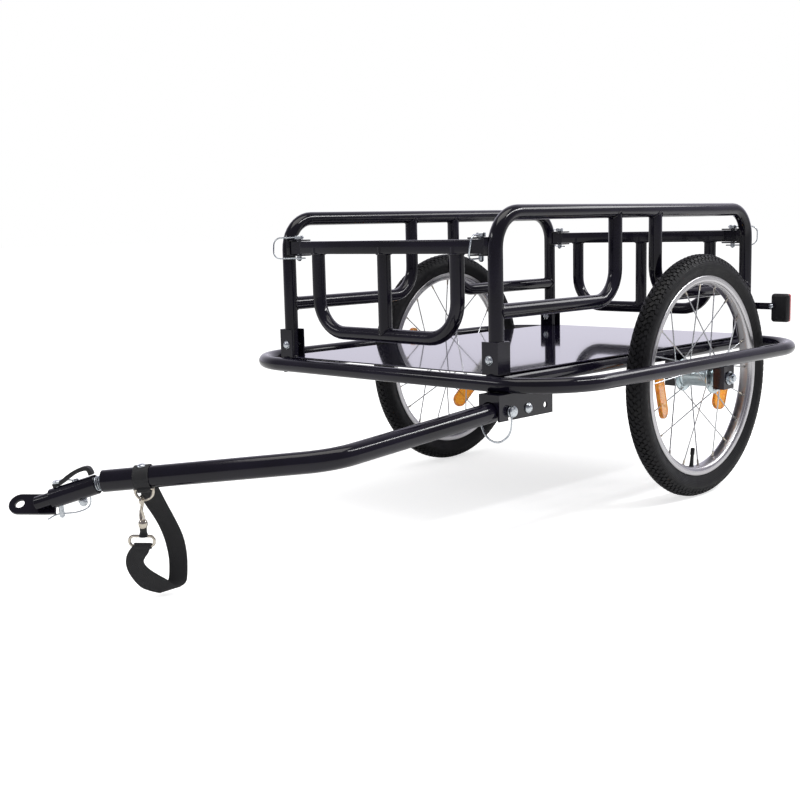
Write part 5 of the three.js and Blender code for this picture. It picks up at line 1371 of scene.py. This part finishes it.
class TRAILER_OT_tow_arm(bpy.types.Operator):
    """Makes the tow bracket, its bolt, the tow arm and the lock pin with its bail"""
    bl_idname = "trailer.tow_arm"
    bl_label = "Tow arm"

    def execute(self, context):
        dressed("tow_channel", "tow_bracket", "frame_paint", 0.8)

        seat = BRACKET_HALF + 0.3
        bolt = Piece("arm_pivot_bolt", "zinc")
        bolt.gather(rod((0, -seat - 1, 0), (0, seat, 0), 5, 20))
        bolt.gather(dome(7.5, 5), shift(0, seat, 0) @ turn(-math.pi / 2, "X"))
        bolt.gather(hex_nut(7.5, 5), shift(0, -seat, 0) @ turn(math.pi / 2, "X"))
        bolt.done(ARM, "trailer_frame", ["pivot_bolt"])

        arm = Piece("tow_tube", "frame_paint", "black_plastic")
        places = bend_places([ARM_ROOT - FIRST_LEG * ARM_STUB, ARM_BEND, ARM_TIP], ARM_BEND_R, steps=14)
        arm.gather(drawn(places, round_section(ARM_R, 40)))
        # The end plug: a moulded ring that the hitch spring comes out of
        arm.gather(turned([(SPRING_BORE_R, -SPRING_DEPTH), (ARM_R - 0.5, -SPRING_DEPTH), (ARM_R - 0.5, -0.6),
                           (ARM_R - 3, 0.2), (SPRING_BORE_R, 0.2)], 40, closed=True),
                   line_frame(ARM_TIP, SECOND_LEG), 1)
        arm.done(ARM, "tow_arm", ["tow_arm"])

        lock = ARM @ shift(LOCK_REACH)
        head = seat + 3.4
        pin = Piece("arm_lock_pin", "zinc")
        pin.gather(turned([
            (0, -seat - 7), (2, -seat - 7), (4.5, -seat - 4.8), (4.5, head), (7.4, head), (8, head + 0.6),
            (8, head + 3), (6.9, head + 4.4), (4, head + 5), (0, head + 5)]), turn(-math.pi / 2, "X"))
        pin.done(lock, "lock_pin", ["lock_pin"])

        bail = Piece("arm_lock_bail", "zinc")
        wire = round_section(1.5, 12)
        eye_y, eye_r = seat + 1.7, 6.2
        bail.gather(drawn([Vector((eye_r * math.cos(a), eye_y, eye_r * math.sin(a))) for a in turns(32)],
                          wire, closed=True))
        loop = [(0, y, z) for y, z in (
            (eye_y, -eye_r), (eye_y + 0.4, -14), (eye_y - 0.8, -25), (eye_y - 6.5, -36), (2, -44.5),
            (-9, -46.5), (-20, -43.5), (-28.5, -36), (-33.5, -26), (-35, -17))]
        bail.gather(drawn(smooth_route(loop, 6), wire))
        bail.done(lock, "lock_pin_bail", ["lock_pin_bail"])
        return {"FINISHED"}


def spring_axis(share):
    """A point and a direction on the spring's own curved axis."""
    run = HITCH_GAP + 2 * SPRING_DEPTH - 2 * SPRING_WIRE_R
    tail = SPRING_DEPTH - SPRING_WIRE_R
    a = ALONG_ARM * -tail
    b = ALONG_ARM * (run / 3 - tail)
    c = COUPLING_START + ALONG_COUPLING * (tail - run / 3)
    d = COUPLING_START + ALONG_COUPLING * tail
    t, u = share, 1 - share
    point = a * u ** 3 + b * (3 * u * u * t) + c * (3 * u * t * t) + d * t ** 3
    way = (b - a) * (u * u) + (c - b) * (2 * u * t) + (d - c) * (t * t)
    return point, way.normalized()


class TRAILER_OT_hitch(bpy.types.Operator):
    """Makes the hitch: spring, coupling tube, bolt, pin, bail, leash and tongue"""
    bl_idname = "trailer.hitch"
    bl_label = "Hitch"

    def execute(self, context):
        self.spring()
        self.coupling()
        self.pin()
        self.leash()
        self.tongue()
        return {"FINISHED"}

    def spring(self):
        """The spring in two halves, so that each bends across one joint."""
        steps = SPRING_CURLS * SPRING_CURL_STEPS
        coil = []
        for i in range(steps + 1):
            point, way = spring_axis(i / steps)
            up = Vector((-way.z, 0, way.x))
            a = 2 * math.pi * i / SPRING_CURL_STEPS
            coil.append(point + up * SPRING_R * math.cos(a) + Vector((0, SPRING_R * math.sin(a), 0)))
        # Half of the open gap is about a tenth of the spring's whole run
        reach = HITCH_GAP / 80
        start, middle, end = (HITCH @ spring_axis(share)[0] * MM for share in (0.5 - reach, 0.5, 0.5 + reach))
        half = steps // 2
        for name, part, bodies, ends in (
            ("hitch_spring_rear_half", coil[:half + 1], ("tow_arm", "hitch_spring"), (start, middle)),
            ("hitch_spring_front_half", coil[half:], ("hitch_spring", "coupling"), (middle, end)),
        ):
            spring = Piece(name, "zinc")
            spring.gather(drawn(part, round_section(SPRING_WIRE_R, 10)))
            obj = spring.done(HITCH, None, ["hitch_spring"])
            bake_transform(obj, *bodies, start=ends[0], end=ends[1])

    def coupling(self):
        """The coupling tube with both of its ends open, and the bolt through it."""
        mouth = COUPLING_LENGTH
        tube = Piece("coupling_sleeve", "frame_paint")
        tube.gather(turned([
            (SPRING_BORE_R, 16.5), (SPRING_BORE_R, 0.4), (SPRING_BORE_R + 0.4, 0), (COUPLING_R - 0.5, 0),
            (COUPLING_R, 0.5), (COUPLING_R, mouth - 0.5), (COUPLING_R - 0.5, mouth), (9.4, mouth), (9.4, 33),
            (0, 33), (0, 16.5)], 40), turn(math.pi / 2, "Y"))
        tube.done(COUPLING, "coupling", ["coupling_tube"])
        bolt = Piece("coupling_cap_bolt", "zinc")
        above = shift(0, 0, COUPLING_R + 0.1)
        below = turn(math.pi, "X") @ above
        bolt.gather(dome(4.6, 2.4), above)
        # A cap nut below: a short hexagon under a round dome
        bolt.gather(hex_nut(5.9, 4), below)
        cap = [(0, 9.4), (1.9, 9.1), (3.6, 8), (4.8, 6.2), (5.2, 4.2), (5.2, 2), (0, 2)]
        bolt.gather(turned(cap, 28), below)
        bolt.done(COUPLING @ shift(25.5), "coupling", ["coupling_bolt"])

    def pin(self):
        """The hitch pin and its wire bail, about the pin's own axis."""
        seat = COUPLING_R / math.cos(HITCH_PIN_LEAN) + 4
        tip = -COUPLING_R - 15
        pin = Piece("hitch_lock_pin", "zinc")
        pin.gather(turned([(0, tip), (1.6, tip), (3.25, tip + 2), (3.25, seat), (5.6, seat), (6, seat + 0.5),
                           (6, seat + 2.8), (5, seat + 3.8), (0, seat + 4)]))
        pin.done(HITCH_PIN, "hitch_pin", ["hitch_pin"])
        top = seat + 2
        bottom = -COUPLING_R - 11
        bail = Piece("hitch_wire_bail", "zinc")
        wire = [(0, 7, top), (0, -6, top), (-2.5, -13, top - 0.3), (-12, -15, top - 2), (-24, -15, top - 6),
                (-31.5, -15, top - 14), (-34, -15, -6), (-32.5, -15, bottom + 7),
                (-26, -13.5, bottom + 1.5), (-15, -9.5, bottom - 0.6), (-5, -5.4, bottom),
                (4, -4.6, bottom + 0.4), (13, -4.6, bottom - 1.6), (21.5, -4.6, bottom - 5.5)]
        bail.gather(drawn(smooth_route(wire, 6), round_section(1, 10)))
        bail.done(HITCH_PIN, "hitch_pin", ["hitch_pin_bail"])

    def leash(self):
        """The moulded leash: an eye round the pin and a thick arch back to the tube's rear end."""
        top = COUPLING_R + 0.3 + 1.1
        places = smooth_route([(x, 0, top + z) for x, z in (
            (55, 1), (49, 1.3), (41, 3), (31, 6.6), (21, 9.2), (11, 9.9), (5, 8.6), (3, 4.5),
            (2.9, -0.4))], 6)
        leash = Piece("moulded_leash", "black_plastic")
        leash.gather(drawn(places, flat_section(9, 5.2), across=Vector((0, 1, 0))))
        leash.gather(turned([(3.6, 0), (5.8, 0), (5.8, 2.4), (3.6, 2.4)], 24, closed=True),
                     shift(HITCH_PIN_PLACE - 3, 0, top - 0.9))
        leash.done(COUPLING, "coupling", ["pin_leash"])

    def tongue(self):
        """The stub and the flat eye plate welded on its underside, level and tilted about its length."""
        tongue = Piece("eye_tongue", "frame_paint")
        tongue.gather(rod((33.5, 0, 0), (COUPLING_LENGTH + 22, 0, 0), TONGUE_STUB_R, 36))
        back = TONGUE_EYE_X - TONGUE_REAR_X
        w = TONGUE_HALF_W
        # Round in front of the eye, and square behind it
        bm = bored_plate(TONGUE_EYE_R, 48, lambda way: w if way.x >= 0 else to_box(way, (-back, -w), (w, w)),
                         TONGUE_T)
        crank = COUPLING_LENGTH + 12
        lie = (shift(crank) @ turn(-COUPLING_SLOPE, "Y") @ shift(-crank)
               @ turn(-math.pi / 2 + TONGUE_TILT, "X") @ shift(TONGUE_EYE_X, 0, -TONGUE_STUB_R))
        bm.transform(lie)
        # The plate is cut off square in front of the coupling tube
        bmesh.ops.bisect_plane(bm, geom=bm.verts[:] + bm.edges[:] + bm.faces[:], dist=1e-4,
                               plane_co=(COUPLING_LENGTH + 0.6, 0, 0), plane_no=(1, 0, 0), clear_inner=True)
        bmesh.ops.holes_fill(bm, edges=[e for e in bm.edges if e.is_boundary], sides=0)
        tongue.gather(bm)
        tongue.done(COUPLING, "coupling", ["tongue"], round_mm=0.5)


class TRAILER_OT_strap(bpy.types.Operator):
    """Makes the safety strap: webbing, rivet, ring, snap hook and its gate"""
    bl_idname = "trailer.strap"
    bl_label = "Safety strap"

    def execute(self, context):
        thick = context.scene.trailer_sizes.webbing_thickness / MM
        level = turn(ARM_END_SLOPE, "Y")
        strap = Piece("strap_of_webbing", "webbing", "zinc")
        collar_r = ARM_R + 0.35 + thick / 2
        self.band(strap, Vector((0, 0, 0)), collar_r, 20, thick, level)
        self.band(strap, RING_BAR, RING_WIRE_R + 0.3 + thick / 2, 17, thick, level)
        self.band(strap, Vector((2.6, RING_BAR.y, EYE_LOW)), EYE_WIRE_R + 0.2 + thick / 2, STRAP_W, thick,
                  Matrix())
        strap.gather(ribbon(smooth_route(STRAP_NEAR_EDGE, 4), smooth_route(STRAP_FAR_EDGE, 4), thick))
        rivet = level @ turn(math.radians(-14), "X") @ shift(0, 0, collar_r + thick / 2 - 0.2)
        strap.gather(dome(5.2, 2.2), rivet, 1)
        strap.done(STRAP, "strap", ["strap_webbing"])

        ring = Piece("strap_d_ring", "nickel")
        wire = round_section(RING_WIRE_R, 14)
        low = RING_BAR.z - RING_DROP
        left, right = RING_BAR.x - RING_HALF, RING_BAR.x + RING_HALF
        y, z = RING_BAR.y, RING_BAR.z
        bow = bend_places([(left, y, z), (left, y, low), (right, y, low), (right, y, z)], 10.8, steps=14)
        ring.gather(drawn(bow, wire))
        ring.gather(drawn([Vector((left - 1.7, y, z)), Vector((right + 1.7, y, z))], wire))
        ring.done(STRAP @ level, "strap", ["strap_ring"])
        self.hook(low)
        return {"FINISHED"}

    def band(self, strap, middle, radius, width, thick, level):
        """A turn of webbing round a bar or tube along X."""
        places = [middle + Vector((0, radius * math.cos(a), radius * math.sin(a))) for a in turns(40)]
        strap.gather(drawn(places, flat_section(width, thick), closed=True, across=Vector((1, 0, 0))), level)

    def hook(self, ring_low):
        """The snap hook: bow, shank, swivel body and loop, and the sprung gate that closes the bow."""
        hook = Piece("swivel_snap_hook", "nickel", "black_plastic")
        centre_z = ring_low - BOW_R + RING_WIRE_R + 0.3 + HOOK_WIRE_R
        # The bow comes down in a shank that leans to one side and widens where it joins the body
        places = [Vector((HOOK_X, BOW_R * math.cos(a), centre_z + BOW_R * math.sin(a)))
                  for a in (-math.pi / 6 + (math.pi + math.pi / 6) * i / 16 for i in range(17))]
        places += [Vector((HOOK_X + lean, -BOW_R * share, z)) for lean, share, z in (
            (2.0, 1, -36), (3.4, 0.9, -42), (3.6, 0.7, -48), (2.6, 0.35, SHANK_END))]
        sizes = [0.75 + 0.25 * min(1, i / 5) for i in range(len(places))]
        hook.gather(drawn(places, round_section(HOOK_WIRE_R, 16), scales=sizes))
        hook.gather(turned([(r, SHANK_END + z) for r, z in (
            (0, -9.5), (3.4, -9.5), (4.6, -8.6), (5.3, -6.6), (5.9, -4), (5.8, -1.6), (4.8, 0.8), (3, 2.4),
            (0, 2.8))], 28), shift(HOOK_X))
        hook.gather(turned([(0, NECK_END), (5.6, NECK_END), (6, -72.6), (5, -69.5), (4.4, -66.5),
                            (4.6, SHANK_END - 9.2), (0, SHANK_END - 9.2)], 24), shift(HOOK_X), 1)
        left, right = EYE_X - EYE_HALF, EYE_X + EYE_HALF
        eye = bend_places([(left, 0, EYE_TOP), (left, 0, EYE_LOW), (right, 0, EYE_LOW), (right, 0, EYE_TOP)],
                          5.6, closed=True, steps=8)
        hook.gather(drawn(eye, round_section(EYE_WIRE_R, 12), closed=True))
        place = STRAP @ shift(0, RING_BAR.y, 0)
        hook.done(place, "strap", ["snap_hook"])
        gate = Piece("snap_hook_latch", "nickel")
        top = ring_low - BOW_R - HOOK_WIRE_R - 0.3
        gate.gather(drawn([Vector((HOOK_X + x, BOW_R + y, z)) for x, y, z in (
            (-3.2, -2.2, GATE_FOOT), (-2.6, -0.6, GATE_FOOT + 5), (-1.2, 0, GATE_FOOT + 11), (-0.4, 0, top))],
            round_section(1.5, 12)))
        gate.done(place, "snap_gate", ["snap_hook_gate"])


class TRAILER_OT_rear_reflector(bpy.types.Operator):
    """Makes the rear reflector, its clamp and its lens"""
    bl_idname = "trailer.rear_reflector"
    bl_label = "Rear reflector"

    def execute(self, context):
        h, out, face = CLAMP_HALF_H, CLAMP_BOLT_OUT, 2.5 - CLAMP_R
        clamp = Piece("reflector_clamp", "frame_paint", "zinc")
        bore = TUBE_R + 0.1
        clamp.gather(turned([(bore, -h), (CLAMP_R, -h), (CLAMP_R, h), (bore, h)], 36, closed=True))
        clamp.gather(block((-CLAMP_R, 0, -h), (face, 52, h), 0.6))
        clamp.gather(rod((-21, out, 0), (-11.2, out, 0), 2.5, 16), None, 1)
        clamp.gather(dome(4.5, 2.9, 24), shift(face, out, 0) @ turn(math.pi / 2, "Y"), 1)
        clamp.done(LAMP, "trailer_frame", ["reflector_bracket"])

        front = LAMP_BACK - LAMP_DEPTH
        housing = Piece("reflector_case", "black_plastic")
        housing.gather(self.slab(front, LAMP_BACK, 0, 5.6, 6))
        housing.done(LAMP, "reflector", ["reflector_housing"])

        lens = Piece("reflector_lens_moulding", "red")
        lens.gather(self.slab(front - 2.4, front + 4.4, 0.6, 3.2, 4))
        lens.gather(self.slab(front - 5.3, front, 4, 2.6, 4))
        lens.done(LAMP, "reflector", ["reflector_lens"])
        return {"FINISHED"}

    def slab(self, low_x, high_x, inset, round_r, segments):
        """A rounded block of the reflector's outline, drawn in by an inset."""
        return block((low_x, LAMP_OUT - LAMP_HALF_W + inset, LAMP_LOW + inset),
                     (high_x, LAMP_OUT + LAMP_HALF_W - inset, LAMP_HIGH - inset), round_r, segments)


class TRAILER_PT_pieces(bpy.types.Panel):
    """Lists the trailer's settings and the operators that make its pieces"""
    bl_idname = "TRAILER_PT_pieces"
    bl_label = "Cargo bike trailer"
    bl_space_type = "VIEW_3D"
    bl_region_type = "UI"
    bl_category = "Trailer"

    def draw(self, context):
        for group in (context.scene.trailer_sizes, context.scene.trailer_finishes):
            box = self.layout.box()
            for prop in group.bl_rna.properties:
                if prop.identifier not in ("rna_type", "name"):
                    box.prop(group, prop.identifier)
        for operator in OPERATORS:
            self.layout.operator(operator.bl_idname)


OPERATORS = (
    TRAILER_OT_stage, TRAILER_OT_base_frame, TRAILER_OT_foot_brackets, TRAILER_OT_side_panels,
    TRAILER_OT_gates, TRAILER_OT_gate_pins, TRAILER_OT_tyres, TRAILER_OT_rims, TRAILER_OT_hubs,
    TRAILER_OT_wheel_reflectors, TRAILER_OT_axles, TRAILER_OT_tow_arm, TRAILER_OT_hitch,
    TRAILER_OT_strap, TRAILER_OT_rear_reflector,
)
CLASSES = (TrailerSizes, TrailerFinishes, *OPERATORS, TRAILER_PT_pieces)


def register():
    """Adds the classes and the scene's settings."""
    for cls in CLASSES:
        bpy.utils.register_class(cls)
    bpy.types.Scene.trailer_sizes = PointerProperty(type=TrailerSizes)
    bpy.types.Scene.trailer_finishes = PointerProperty(type=TrailerFinishes)


def unregister():
    """Takes the classes and the scene's settings away."""
    del bpy.types.Scene.trailer_finishes
    del bpy.types.Scene.trailer_sizes
    for cls in reversed(CLASSES):
        bpy.utils.unregister_class(cls)


def main():
    """Makes everything in order."""
    register()
    for operator in OPERATORS:
        group, name = operator.bl_idname.split(".")
        getattr(getattr(bpy.ops, group), name)()


if __name__ == "__main__":
    main()
